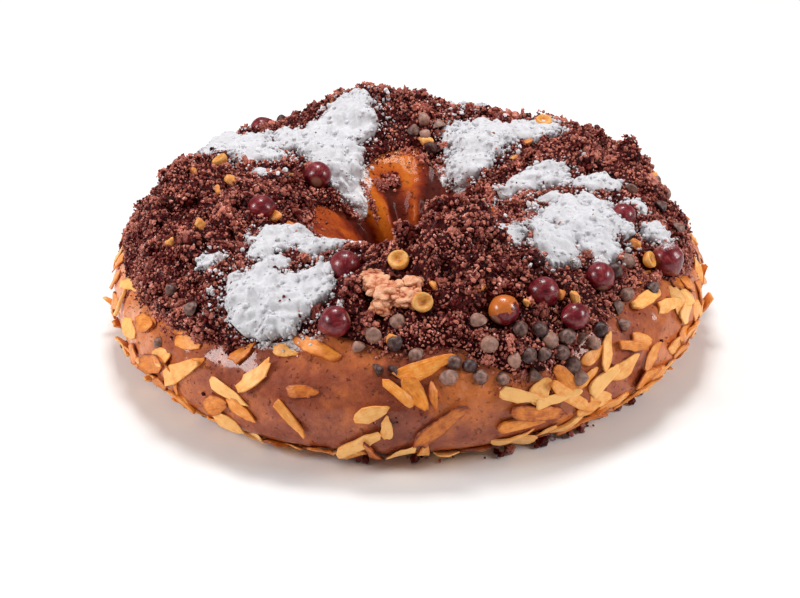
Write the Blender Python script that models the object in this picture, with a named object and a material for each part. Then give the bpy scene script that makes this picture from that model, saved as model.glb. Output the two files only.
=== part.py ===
"""Roscon de reyes: a glazed ring of sweet bread under chocolate crumb, with heaps of icing sugar,
whole hazelnuts and flaked almonds. Metres, +Z up, origin under the middle of the ring, front at -Y.

Every place on the ring is given by two angles. The turn goes round the ring, from 0 at the front
(-Y) through 90 at +X. The lean goes round the tube, from 0 at the outermost line of the crust
through 90 at the crest to 180 at the narrowest line of the hole.
"""

import math

import bpy
import numpy as np
from mathutils import Matrix, Vector

# Driving dimensions, in metres.
RING_RADIUS = 0.1395
TUBE_HALF_WIDTH = 0.0595
BREAD_HEIGHT = 0.060
BELLY_HEIGHT = 0.024
CRUMB_DEPTH = 0.0045
NUT_LENGTH = 0.0145
FLAKE_THICKNESS = 0.0014
GAP = 0.0003  # between a piece and what it lies on
RIM = 0.0012  # the least thickness of a bed or a heap at its edge

TUBE_RADIUS = RING_RADIUS - TUBE_HALF_WIDTH  # centre of the ring to the middle of the tube

# The section's roundness: powers of the cosine and sine, above and below the belly line.
ROUND_SIDE = 0.95
ROUND_OVER = 0.95
ROUND_UNDER = 0.62
BASE_DEPTH = 1.05  # how far the lower curve would reach past the flat base

# Swells of the dough: (turn, half width) in degrees and how far they stand out, in metres.
LOBES = (
    (-28, 22, 0.0020),
    (24, 22, -0.0022),
    (90, 26, 0.0026),
    (150, 22, -0.0016),
    (-134, 28, -0.0030),
)
# Rises and dips of the crest, as (turn, half width, height).
CREST_SWELLS = ((-176, 30, 0.0045), (-120, 26, -0.0020), (12, 28, 0.0035), (124, 20, 0.0025))
# Folds of dough down the wall of the hole, as (turn, half width, depth).
FOLDS = (
    (-155, 9, 0.0034),
    (-118, 12, 0.0024),
    (-78, 13, 0.0026),
    (-38, 12, 0.0020),
    (4, 14, 0.0024),
    (46, 12, 0.0022),
    (86, 13, 0.0024),
    (125, 9, 0.0030),
    (146, 8, -0.0022),
    (171, 8, 0.0032),
)
FOLD_TWIST = 5.0  # degrees that a fold turns between the crest and the narrowest line

# The crumb's outer and inner edge as leans in degrees, with (turn, half width, change) swings.
OUTER_EDGE = 31.0
OUTER_SWINGS = (
    (-56, 16, -14),
    (-14, 16, 20),
    (9, 8, 14),
    (23, 12, -9),
    (54, 13, 15),
    (84, 15, -6),
    (134, 15, -11),
    (172, 20, -14),
    (-148, 16, -13),
    (-100, 14, -8),
)
INNER_EDGE = 124.0
INNER_SWINGS = ((180, 26, -10), (-122, 16, 8), (118, 18, 7), (55, 18, -5), (0, 26, 8), (-60, 18, -4))

# Heaps of crumb: (turn, lean) of the middle, half sizes round the ring and across it, and height.
CRUMB_HEAPS = (
    (-94, 66, 0.022, 0.015, 0.0085),
    (-72, 50, 0.018, 0.014, 0.0035),
    (-80, 92, 0.016, 0.012, 0.0030),
    (-50, 58, 0.015, 0.016, 0.0025),
    (-3, 90, 0.014, 0.014, 0.0050),
    (17, 93, 0.021, 0.017, 0.0215),
    (43, 92, 0.011, 0.012, 0.0085),
    (4, 50, 0.016, 0.012, 0.0030),
    (72, 44, 0.014, 0.010, 0.0020),
    (90, 38, 0.013, 0.013, 0.0025),
    (108, 58, 0.012, 0.013, 0.0105),
    (124, 66, 0.012, 0.014, 0.0060),
    (138, 54, 0.015, 0.013, 0.0050),
    (158, 50, 0.015, 0.012, 0.0035),
    (176, 78, 0.013, 0.016, 0.0080),
    (-168, 80, 0.013, 0.015, 0.0130),
    (-160, 46, 0.016, 0.013, 0.0040),
    (-128, 44, 0.014, 0.012, 0.0035),
)
CRUMB_RIPPLE = 0.0007
EDGE_ROUND = 0.35
CRUMB_SINK = 0.004  # how far the bed's closed form reaches into the bread that cuts it

# Heaps of icing sugar, each of lobes laid out as the crumb heaps are, with a slant in degrees.
SUGAR_HEAPS = (
    ((-31, 62, 0.023, 0.015, 0.0065, -8), (-24, 75, 0.012, 0.010, 0.0050, 0)),
    ((-49, 97, 0.013, 0.011, 0.0045, 0), (-35, 103, 0.013, 0.010, 0.0045, 0)),
    (
        (-156, 93, 0.018, 0.012, 0.0065, 0),
        (-143, 109, 0.014, 0.018, 0.0065, 0),
        (-147, 138, 0.008, 0.020, 0.0045, 0),
    ),
    ((-130, 70, 0.013, 0.018, 0.0055, 0),),
    ((148, 98, 0.019, 0.016, 0.0065, 0), (139, 76, 0.013, 0.013, 0.0045, 0)),
    ((104, 104, 0.010, 0.015, 0.0045, 0),),
    (
        (71, 84, 0.021, 0.016, 0.0065, 0),
        (52, 88, 0.014, 0.010, 0.0050, 0),
        (60, 72, 0.013, 0.009, 0.0055, 0),
    ),
    ((75, 54, 0.008, 0.007, 0.0045, 0),),
    ((92, 71, 0.010, 0.010, 0.0045, 0),),
    ((166, 47, 0.018, 0.011, 0.0045, 10),),
)
SUGAR_SINK = 0.0040  # how far a heap's closed form reaches into the crumb that cuts it

# Whole hazelnuts: (turn, lean) in degrees, and length against NUT_LENGTH.
HAZELNUTS = (
    (-123, 116, 1.06),
    (-74, 99, 1.00),
    (-18, 88, 1.04),
    (-14, 55, 1.04),
    (21, 56, 1.03),
    (32, 61, 1.00),
    (35, 45, 0.96),
    (48, 58, 1.00),
    (68, 44, 1.12),
    (77, 70, 0.92),
    (-145, 36, 1.00),
    (136, 27, 0.97),
    (163, 24, 1.04),
    (-173, 30, 1.00),
    (-157, 22, 0.95),
)
NUT_LIFT = 0.0071  # a nut's middle above the crust
NUT_ROUNDNESS = 0.93  # width against length
NUT_POINT = 0.20  # how much narrower a nut is at its tip than at its base

# Large almond flakes on the crust: (turn, lean), the spin of the long way from the ring's own
# direction, all in degrees, and the length and width in metres.
ALMOND_FLAKES = (
    (-17, 44, -15, 0.0235, 0.0060),
    (4, 35, 21, 0.0265, 0.0068),
    (-18, 20, 9, 0.0160, 0.0060),
    (-1, 22, -42, 0.0160, 0.0045),
    (5, 19, -84, 0.0120, 0.0040),
    (6, 2, 37, 0.0280, 0.0070),
    (-8, -8, 34, 0.0235, 0.0060),
    (-3, 1, 90, 0.0120, 0.0050),
    (21, 12, -23, 0.0200, 0.0055),
    (31, 3, -40, 0.0260, 0.0060),
    (24, 0, -13, 0.0260, 0.0070),
    (41, -10, 0, 0.0180, 0.0050),
    (40, 23, 58, 0.0170, 0.0060),
    (44, 9, 16, 0.0190, 0.0075),
    (57, 38, -5, 0.0220, 0.0065),
    (68, 20, -16, 0.0190, 0.0090),
    (51, 7, 36, 0.0150, 0.0050),
    (-51, 2, 30, 0.0240, 0.0085),
    (-43, 9, 39, 0.0260, 0.0070),
    (-29, 0, -23, 0.0160, 0.0065),
    (-27, 23, 52, 0.0200, 0.0080),
    (-75, 4, 18, 0.0200, 0.0080),
    (77, 6, -78, 0.0180, 0.0060),
    (-97, 8, 58, 0.0220, 0.0070),
    (-128, 4, 12, 0.0210, 0.0074),
    (-165, 6, -24, 0.0220, 0.0070),
    (148, 2, 18, 0.0225, 0.0076),
    (114, 0, -36, 0.0205, 0.0070),
)
FLAKE_CORNERS = 7

RING_STEPS = 56
TUBE_STEPS = 18
CRUMB_STEPS = 18


def signed_power(value, power):
    """The value raised to a power with its sign kept."""
    return np.sign(value) * np.abs(value) ** power


def bumps(turn, table):
    """The sum of smooth bumps round the ring at the given turns, each (turn, half width, size)."""
    total = np.zeros_like(turn)
    for middle, half_width, size in table:
        away = (turn - middle + 180.0) % 360.0 - 180.0
        total += size * np.exp(-((away / half_width) ** 2))
    return total


def crust_point(turn, lean):
    """Points on the bread's surface: a flattened tube round the ring, with lobes and hole folds."""
    side = np.cos(np.radians(lean))
    rise = np.sin(np.radians(lean))
    lobe = bumps(turn, LOBES)
    hole_share = np.clip((np.abs((lean - 165.0 + 180.0) % 360.0 - 180.0) - 75.0) / -40.0, 0.0, 1.0)
    fold = bumps(turn + FOLD_TWIST * (lean - 90.0) / 90.0, FOLDS) * hole_share
    half_width = TUBE_HALF_WIDTH + np.where(side > 0, lobe, fold - 0.0010 * hole_share)
    reach = signed_power(side, ROUND_SIDE)
    swell = bumps(turn, CREST_SWELLS)
    crest = (BREAD_HEIGHT - BELLY_HEIGHT + swell) * signed_power(rise, ROUND_OVER)
    under = BELLY_HEIGHT * BASE_DEPTH * signed_power(rise, ROUND_UNDER)
    height = BELLY_HEIGHT + np.where(rise > 0, crest, under)
    radius = TUBE_RADIUS + half_width * reach
    angle = np.radians(turn)
    flat = np.maximum(height, 0.0)
    return np.stack([radius * np.sin(angle), -radius * np.cos(angle), flat], axis=-1)


def crust_normal(turn, lean):
    """Outward unit normals of the crust, from the slopes of crust_point in both angles."""
    step = 0.5
    along = crust_point(turn + step, lean) - crust_point(turn - step, lean)
    across = crust_point(turn, lean + step) - crust_point(turn, lean - step)
    normal = np.cross(along, across)
    return normal / np.linalg.norm(normal, axis=-1, keepdims=True)


def above_crust(turn, lean, height):
    """Points at a height above the crust, along its normal."""
    return crust_point(turn, lean) + crust_normal(turn, lean) * height[..., None]


def around(turn, lean, middle_turn, middle_lean):
    """Distances in metres from a place on the ring, round it and across it."""
    crest_radius = TUBE_RADIUS + TUBE_HALF_WIDTH * math.cos(math.radians(middle_lean))
    across_radius = (TUBE_HALF_WIDTH + BREAD_HEIGHT - BELLY_HEIGHT) / 2
    away = (turn - middle_turn + 180.0) % 360.0 - 180.0
    return np.radians(away) * crest_radius, np.radians(lean - middle_lean) * across_radius


def crumb_height(turn, lean):
    """Depth of the crumb above the crust: an even bed, its heaps and slow ripples."""
    total = np.full_like(turn, CRUMB_DEPTH)
    for middle_turn, middle_lean, half_round, half_across, height in CRUMB_HEAPS:
        x, y = around(turn, lean, middle_turn, middle_lean)
        total += height * np.exp(-((x / half_round) ** 2) - (y / half_across) ** 2)
    ripple = np.sin(np.radians(13 * turn + 4 * lean)) + np.sin(np.radians(-7 * turn + 6 * lean))
    return total + CRUMB_RIPPLE * ripple


def crumb_edges(turn):
    """The leans of the crumb's outer and inner edge."""
    return OUTER_EDGE + bumps(turn, OUTER_SWINGS), INNER_EDGE + bumps(turn, INNER_SWINGS)


def bed_height(turn, lean):
    """Depth of the crumb with its rounded edges, and nothing past them."""
    outer, inner = crumb_edges(turn)
    share = np.clip((lean - outer) / (inner - outer), 0.0, 1.0)
    return crumb_height(turn, lean) * np.sin(np.pi * share) ** EDGE_ROUND


def material(name, colour, roughness):
    """A plain material with the part's colour."""
    made = bpy.data.materials.new(name)
    made.use_nodes = True
    shader = made.node_tree.nodes["Principled BSDF"]
    shader.inputs["Base Color"].default_value = (*colour, 1.0)
    shader.inputs["Roughness"].default_value = roughness
    shader.inputs["Metallic"].default_value = 0.0
    return made


def torus_object(name, ring_steps, tube_steps):
    """A primitive torus, with the turn and lean in degrees of each of its vertices."""
    bpy.ops.mesh.primitive_torus_add(
        major_segments=ring_steps, minor_segments=tube_steps, major_radius=1.0, minor_radius=0.5
    )
    obj = bpy.context.object
    obj.name = obj.data.name = name
    co = np.array([v.co for v in obj.data.vertices])
    turn = np.degrees(np.arctan2(co[:, 0], -co[:, 1]))
    lean = np.degrees(np.arctan2(co[:, 2], np.hypot(co[:, 0], co[:, 1]) - 1.0))
    return obj, turn, np.round(lean, 3) % 360.0


def sphere_object(name, segments, rings):
    """A primitive sphere of radius 1, with its vertices as an array."""
    bpy.ops.mesh.primitive_uv_sphere_add(segments=segments, ring_count=rings, radius=1.0)
    obj = bpy.context.object
    obj.name = obj.data.name = name
    return obj, np.array([v.co for v in obj.data.vertices])


def shaped(obj, points):
    """The object with its vertices moved to the points, and bent faces split one way throughout."""
    obj.data.vertices.foreach_set("co", np.asarray(points, dtype=np.float32).ravel())
    obj.data.update()
    obj.modifiers.new("triangles", "TRIANGULATE").quad_method = "FIXED"
    return obj


def bread(name, growth=0.0):
    """The ring of bread, grown all over by a distance when it is a cutter."""
    obj, turn, lean = torus_object(name, RING_STEPS, TUBE_STEPS)
    lean = np.where(lean > 270.0, lean - 360.0, lean)
    points = above_crust(turn, lean, np.full_like(turn, growth))
    return shaped(obj, points)


def crumb(name, growth=0.0):
    """The bed of crumb: the torus's upper half is its top and the lower half lies in the bread."""
    obj, turn, lean = torus_object(name, RING_STEPS, CRUMB_STEPS)
    outer, inner = crumb_edges(turn)
    margin = math.degrees(growth / TUBE_HALF_WIDTH)
    share = np.where(lean <= 180.0, lean, 360.0 - lean) / 180.0
    place = outer + (inner - outer) * share + margin * (2 * share - 1)
    rounded = np.sin(np.pi * share) ** EDGE_ROUND
    top = np.maximum(bed_height(turn, place), RIM) + growth * rounded
    depth = np.where(lean <= 180.0, top, -(CRUMB_SINK + growth) * rounded)
    return shaped(obj, above_crust(turn, place, depth))


def sugar_lobe(name, lobe):
    """A lobe of icing sugar: a sphere pressed onto the crumb, with a steep, uneven rim."""
    middle_turn, middle_lean, half_round, half_across, height, slant = lobe
    obj, co = sphere_object(name, 12, 6)
    flat = np.hypot(co[:, 0], co[:, 1])
    spread = np.where(flat > 1e-6, flat**0.85 / np.maximum(flat, 1e-6), 0.0)
    edge = spread * (1.0 + 0.10 * np.sin(3 * np.arctan2(co[:, 1], co[:, 0]) + middle_turn))
    cosine, sine = math.cos(math.radians(slant)), math.sin(math.radians(slant))
    x, y = half_round * co[:, 0] * edge, half_across * co[:, 1] * edge
    x, y = x * cosine - y * sine, x * sine + y * cosine
    round_degree, across_degree = around(middle_turn + 1.0, middle_lean + 1.0, *lobe[:2])
    turn, lean = middle_turn + x / round_degree, middle_lean + y / across_degree
    rise = signed_power(co[:, 2], 0.6)
    up = RIM + rise * np.where(rise > 0, height, RIM + SUGAR_SINK)
    return shaped(obj, above_crust(turn, lean, bed_height(turn, lean) + up))


def seat(turn, lean, height, spin):
    """The placing of a piece at a height above the crust: its Z is the crust's normal."""
    place = np.array([float(turn)]), np.array([float(lean)])
    normal = Vector(crust_normal(*place)[0])
    round_ring = Vector((math.cos(math.radians(turn)), math.sin(math.radians(turn)), 0.0))
    across = normal.cross(round_ring).normalized()
    axes = Matrix((across.cross(normal), across, normal)).transposed().to_4x4()
    middle = Vector(crust_point(*place)[0]) + normal * height
    return Matrix.Translation(middle) @ axes @ Matrix.Rotation(math.radians(spin), 4, "Z")


def hazelnut(name, index, growth=0.0):
    """A hazelnut: a sphere that narrows to a tip along its own X, lying on the crust."""
    turn, lean, size = HAZELNUTS[index]
    obj, co = sphere_object(name, 8, 5)
    half = NUT_LENGTH * size / 2
    narrowing = 1.0 - NUT_POINT * np.clip(co[:, 2], 0.0, 1.0) ** 2
    width = half * NUT_ROUNDNESS * narrowing + growth
    points = np.stack([co[:, 2] * (half + growth), co[:, 0] * width, co[:, 1] * width], axis=-1)
    shaped(obj, points)
    obj.matrix_world = seat(turn, lean, NUT_LIFT, 137.5 * index)
    return obj


def almond_flake(name, index, growth=0.0):
    """An almond flake: a thin plate, blunt at one end and pointed at the other."""
    turn, lean, spin, length, width = ALMOND_FLAKES[index]
    bpy.ops.mesh.primitive_cylinder_add(vertices=FLAKE_CORNERS, radius=1.0, depth=2.0)
    obj = bpy.context.object
    obj.name = obj.data.name = name
    co = np.array([v.co for v in obj.data.vertices])
    belly = 1.0 - 0.25 * co[:, 1]
    x = co[:, 1] * (length / 2 + growth)
    y = -co[:, 0] * (width / 2 * belly + growth)
    z = co[:, 2] * (FLAKE_THICKNESS / 2 + growth)
    shaped(obj, np.stack([x, y, z], axis=-1))
    obj.matrix_world = seat(turn, lean, FLAKE_THICKNESS / 2 + 2 * GAP, spin)
    return obj


def move_to(obj, collection):
    """Links the object to one collection alone."""
    for other in list(obj.users_collection):
        other.objects.unlink(obj)
    collection.objects.link(obj)
    return obj


def helper(obj, collection):
    """Marks the object as a cutter or a lobe, which is not a piece of its own."""
    obj.hide_render = True
    obj.display_type = "WIRE"
    return move_to(obj, collection)


def join(obj, other):
    """Joins another object to this one."""
    modifier = obj.modifiers.new("join", "BOOLEAN")
    modifier.operation = "UNION"
    modifier.solver = "EXACT"
    modifier.object = other


def cut(obj, cutters):
    """Cuts a collection's objects, and those of the collections in it, out of this one."""
    modifier = obj.modifiers.new("cut", "BOOLEAN")
    modifier.operation = "DIFFERENCE"
    modifier.solver = "EXACT"
    modifier.operand_type = "COLLECTION"
    modifier.collection = cutters


def new_collection(name, parent):
    """A collection inside another."""
    made = bpy.data.collections.new(name)
    parent.children.link(made)
    return made


def main():
    """Builds the ring and all that lies on it, each piece cut by what it rests on."""
    for obj in list(bpy.data.objects):
        bpy.data.objects.remove(obj)
    parts = new_collection("roscon_de_reyes", bpy.context.scene.collection)
    lobes = new_collection("lobes", bpy.context.scene.collection)
    under_sugar = new_collection("cutters_under_sugar", bpy.context.scene.collection)
    under_crumb = new_collection("cutters_under_crumb", under_sugar)

    crust = material("golden_crust", (0.42, 0.16, 0.06), 0.35)
    cocoa = material("chocolate_crumb", (0.07, 0.022, 0.018), 0.9)
    icing = material("icing_sugar", (0.85, 0.85, 0.86), 0.95)
    skin = material("hazelnut_skin", (0.16, 0.035, 0.04), 0.3)
    toasted = material("toasted_almond", (0.72, 0.38, 0.15), 0.6)

    def finish(obj, look):
        obj.data.materials.clear()
        obj.data.materials.append(look)
        obj.data.shade_smooth()
        return move_to(obj, parts)

    finish(bread("bread_ring"), crust)
    helper(bread("bread_cutter", GAP), under_crumb)
    for index in range(len(HAZELNUTS)):
        finish(hazelnut(f"hazelnut_{index + 1:02d}", index), skin)
        helper(hazelnut(f"nut_cutter_{index + 1:02d}", index, GAP), under_crumb)
    for index in range(len(ALMOND_FLAKES)):
        finish(almond_flake(f"almond_flake_{index + 1:02d}", index), toasted)
        helper(almond_flake(f"flake_cutter_{index + 1:02d}", index, GAP), under_crumb)

    cut(finish(crumb("crumb_topping"), cocoa), under_crumb)
    helper(crumb("crumb_cutter", 2 * GAP), under_sugar)
    for number, (first, *others) in enumerate(SUGAR_HEAPS, start=1):
        heap = finish(sugar_lobe(f"sugar_heap_{number}", first), icing)
        for other in others:
            join(heap, helper(sugar_lobe(f"sugar_lobe_{number}", other), lobes))
        cut(heap, under_sugar)


main()
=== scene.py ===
"""Looks of a ring of sweet bread topped with crumbled cake, icing sugar, hazelnuts, chips and almonds.

Places on the ring are a turn and a lean, both in degrees: the turn goes round the ring from its
front, and the lean goes round its section, from 0 at the outermost line over 90 at the crest to
180 at the wall of the hole. Lengths are in metres.
"""

import logging
import math
from dataclasses import dataclass, field
from enum import Enum
from functools import cached_property

import bpy
import numpy as np
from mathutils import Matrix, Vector


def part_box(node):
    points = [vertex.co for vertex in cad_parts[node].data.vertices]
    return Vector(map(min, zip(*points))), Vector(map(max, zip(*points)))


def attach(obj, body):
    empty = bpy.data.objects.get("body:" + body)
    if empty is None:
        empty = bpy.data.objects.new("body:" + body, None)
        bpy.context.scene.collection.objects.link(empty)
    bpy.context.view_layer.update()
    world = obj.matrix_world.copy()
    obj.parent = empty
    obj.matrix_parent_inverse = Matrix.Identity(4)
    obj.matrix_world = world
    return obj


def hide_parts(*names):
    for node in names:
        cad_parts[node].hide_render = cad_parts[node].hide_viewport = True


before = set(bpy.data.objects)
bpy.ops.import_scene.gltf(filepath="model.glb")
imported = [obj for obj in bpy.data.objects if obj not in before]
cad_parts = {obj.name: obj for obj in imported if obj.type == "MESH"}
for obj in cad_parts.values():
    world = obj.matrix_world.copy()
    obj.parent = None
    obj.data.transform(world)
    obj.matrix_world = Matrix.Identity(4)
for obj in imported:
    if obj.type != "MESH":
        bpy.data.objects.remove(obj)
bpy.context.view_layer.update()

logging.basicConfig(level=logging.INFO, format="%(message)s")
log = logging.getLogger("roscon_de_reyes")

Array = np.ndarray
Table = tuple[tuple[float, ...], ...]
NODE_NAMES = sorted(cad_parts)


class Slot(Enum):
    """The record's material slots."""

    CRUST = "golden_crust"
    CRUMB = "chocolate_crumb"
    SUGAR = "icing_sugar"
    NUT = "hazelnut_skin"
    ALMOND = "toasted_almond"


# ------------------------------------------------------------------ patterns as plain numbers


def hashed(cells: Array, salt: int) -> Array:
    """Pseudo-random numbers from 0 to 1, one for each whole-numbered cell.

    Args:
        cells: Whole numbers, with a cell's three indices on the last axis.
        salt: Picks one of many unrelated patterns.

    Returns:
        One number for each cell, the same on every run.
    """
    mixed = cells[..., 0] * 73856093 ^ cells[..., 1] * 19349663 ^ cells[..., 2] * 83492791
    mixed = (mixed ^ (salt * 7919 + 11)) & 0xFFFFFFFF
    mixed = ((mixed ^ (mixed >> 16)) * 73244475) & 0xFFFFFFFF
    mixed = ((mixed ^ (mixed >> 16)) * 73244475) & 0xFFFFFFFF
    mixed = mixed ^ (mixed >> 16)
    return (mixed & 0xFFFFFF) / float(0xFFFFFF)


def soft_noise(points: Array, size: float, salt: int) -> Array:
    """Smooth noise: random numbers at the corners of cubes, blended by part^2 (3 - 2 part).

    Args:
        points: Places, with three coordinates on the last axis.
        size: Side of a cube.
        salt: Picks the pattern.

    Returns:
        Numbers from -1 to 1.
    """
    scaled = points / size
    cell = np.floor(scaled).astype(np.int64)
    part = scaled - cell
    part = part * part * (3.0 - 2.0 * part)
    total = np.zeros(points.shape[:-1])
    for corner in np.ndindex(2, 2, 2):
        corner = np.array(corner)
        weight = np.where(corner == 1, part, 1.0 - part).prod(axis=-1)
        total += weight * hashed(cell + corner, salt)
    return 2.0 * total - 1.0


def clouds(points: Array, size: float, octaves: int, salt: int) -> Array:
    """Noise of several sizes: each octave has half the size and half the strength of the last.

    Args:
        points: Places, with three coordinates on the last axis.
        size: Size of the largest features.
        octaves: How many sizes are added.
        salt: Picks the pattern.

    Returns:
        Numbers from about -1 to 1.
    """
    total = sum(soft_noise(points, size / 2**k, salt + k) / 2**k for k in range(octaves))
    return total / (2.0 - 2.0 ** (1 - octaves))


def domes(points: Array, size: float, salt: int) -> tuple[Array, Array]:
    """Packed round grains: sqrt(1 - distance^2) to the nearest of the points strewn one a cube.

    Args:
        points: Places, with three coordinates on the last axis.
        size: Distance between grains.
        salt: Picks the pattern.

    Returns:
        The height of the grain at each place, 0 to 1, and a random number that is its own.
    """
    scaled = points / size
    base = np.floor(scaled).astype(np.int64)
    nearest = np.full(points.shape[:-1], 9.0)
    owner = np.zeros(points.shape[:-1])
    for corner in np.ndindex(3, 3, 3):
        cell = base + np.array(corner) - 1
        middle = np.stack([hashed(cell, salt + axis) for axis in range(3)], axis=-1)
        away = ((scaled - cell - 0.15 - 0.7 * middle) ** 2).sum(axis=-1)
        closer = away < nearest
        nearest = np.where(closer, away, nearest)
        owner = np.where(closer, hashed(cell, salt + 3), owner)
    return np.sqrt(np.clip(1.0 - nearest, 0.0, 1.0)), owner


def ease(value: Array, low: float, high: float) -> Array:
    """A smooth step from 0 at low to 1 at high."""
    share = np.clip((value - low) / (high - low), 0.0, 1.0)
    return share * share * (3.0 - 2.0 * share)


def signed_power(value: Array, power: float) -> Array:
    """The value raised to a power with its sign kept."""
    return np.sign(value) * np.abs(value) ** power


def apart(turn: Array, middle: float) -> Array:
    """Degrees from a middle turn, from -180 to 180."""
    return (turn - middle + 180.0) % 360.0 - 180.0


def bumps(turn: Array, table: Table) -> Array:
    """The sum of smooth bumps exp(-(away / half width)^2) round the ring.

    Args:
        turn: Turns in degrees.
        table: Rows of (middle turn, half width in degrees, size).

    Returns:
        The sum at each turn.
    """
    total = np.zeros_like(turn, dtype=float)
    for middle, half_width, size in table:
        total += size * np.exp(-((apart(turn, middle) / half_width) ** 2))
    return total


def zones(turn: Array, lean: Array, table: Table) -> Array:
    """The sum of smooth spots on the ring.

    Args:
        turn: Turns in degrees.
        lean: Leans in degrees.
        table: Rows of (middle turn, middle lean, half turn, half lean, strength).

    Returns:
        The sum at each place.
    """
    total = np.zeros(np.broadcast(turn, lean).shape)
    for middle_turn, middle_lean, half_turn, half_lean, strength in table:
        far = (apart(turn, middle_turn) / half_turn) ** 2 + ((lean - middle_lean) / half_lean) ** 2
        total += strength * np.exp(-far)
    return total


def unit(vectors: Array) -> Array:
    """The vectors at length 1."""
    return vectors / np.maximum(np.linalg.norm(vectors, axis=-1, keepdims=True), 1e-12)


# ------------------------------------------------------------------ the ring's own form


@dataclass(frozen=True)
class RingForm:
    """The bread under its topping, as the solids have it."""

    ring_radius: float = 0.1395
    tube_half_width: float = 0.0595
    bread_height: float = 0.060
    belly_height: float = 0.024
    round_side: float = 0.95
    round_over: float = 0.95
    round_under: float = 0.62
    base_depth: float = 1.05
    fold_twist: float = 5.0
    lobes: Table = (
        (-28, 22, 0.0020),
        (24, 22, -0.0022),
        (90, 26, 0.0026),
        (150, 22, -0.0016),
        (-134, 28, -0.0030),
    )
    crest_swells: Table = (
        (-176, 30, 0.0045),
        (-120, 26, -0.0020),
        (12, 28, 0.0035),
        (124, 20, 0.0025),
    )
    folds: Table = (
        (-155, 9, 0.0034),
        (-118, 12, 0.0024),
        (-78, 13, 0.0026),
        (-38, 12, 0.0020),
        (4, 14, 0.0024),
        (46, 12, 0.0022),
        (86, 13, 0.0024),
        (125, 9, 0.0030),
        (146, 8, -0.0022),
        (171, 8, 0.0032),
    )

    @property
    def tube_radius(self) -> float:
        """From the middle of the ring to the middle of its section."""
        return self.ring_radius - self.tube_half_width

    @property
    def lean_metre(self) -> float:
        """Metres across the ring for one degree of lean."""
        return math.radians(1.0) * (self.tube_half_width + self.bread_height - self.belly_height) / 2

    def crust(self, turn: Array, lean: Array) -> Array:
        """The crust: radius = tube radius + half width cos(lean)^p, height = belly + rise sin(lean)^q.

        Args:
            turn: Turns in degrees.
            lean: Leans in degrees.

        Returns:
            Points, with three coordinates on the last axis.
        """
        side = np.cos(np.radians(lean))
        rise = np.sin(np.radians(lean))
        from_hole = np.abs(apart(lean, 165.0))
        hole_share = np.clip((75.0 - from_hole) / 40.0, 0.0, 1.0)
        twisted = turn + self.fold_twist * (lean - 90.0) / 90.0
        inner = (bumps(twisted, self.folds) - 0.0010) * hole_share
        half_width = self.tube_half_width + np.where(side > 0, bumps(turn, self.lobes), inner)
        radius = self.tube_radius + half_width * signed_power(side, self.round_side)
        top = self.bread_height - self.belly_height + bumps(turn, self.crest_swells)
        crest = top * signed_power(rise, self.round_over)
        under = self.belly_height * self.base_depth * signed_power(rise, self.round_under)
        height = np.maximum(self.belly_height + np.where(rise > 0, crest, under), 0.0)
        angle = np.radians(turn)
        return np.stack([radius * np.sin(angle), -radius * np.cos(angle), height], axis=-1)

    def normal(self, turn: Array, lean: Array) -> Array:
        """Outward unit normals: the cross product of the crust's slopes along turn and lean."""
        along = self.crust(turn + 0.5, lean) - self.crust(turn - 0.5, lean)
        across = self.crust(turn, lean + 0.5) - self.crust(turn, lean - 0.5)
        return unit(np.cross(along, across))

    def above(self, turn: Array, lean: Array, height: Array) -> Array:
        """Points at a height above the crust, along its normal."""
        return self.crust(turn, lean) + self.normal(turn, lean) * np.asarray(height)[..., None]

    def around(self, turn: Array, lean: Array, middle: tuple[float, float]) -> tuple[Array, Array]:
        """Metres from a place on the ring, round it and across it.

        Args:
            turn: Turns in degrees.
            lean: Leans in degrees.
            middle: The turn and lean that the distances start from.

        Returns:
            The distance round the ring and the distance across it.
        """
        radius = self.tube_radius + self.tube_half_width * math.cos(math.radians(middle[1]))
        return np.radians(apart(turn, middle[0])) * radius, (lean - middle[1]) * self.lean_metre


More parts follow.
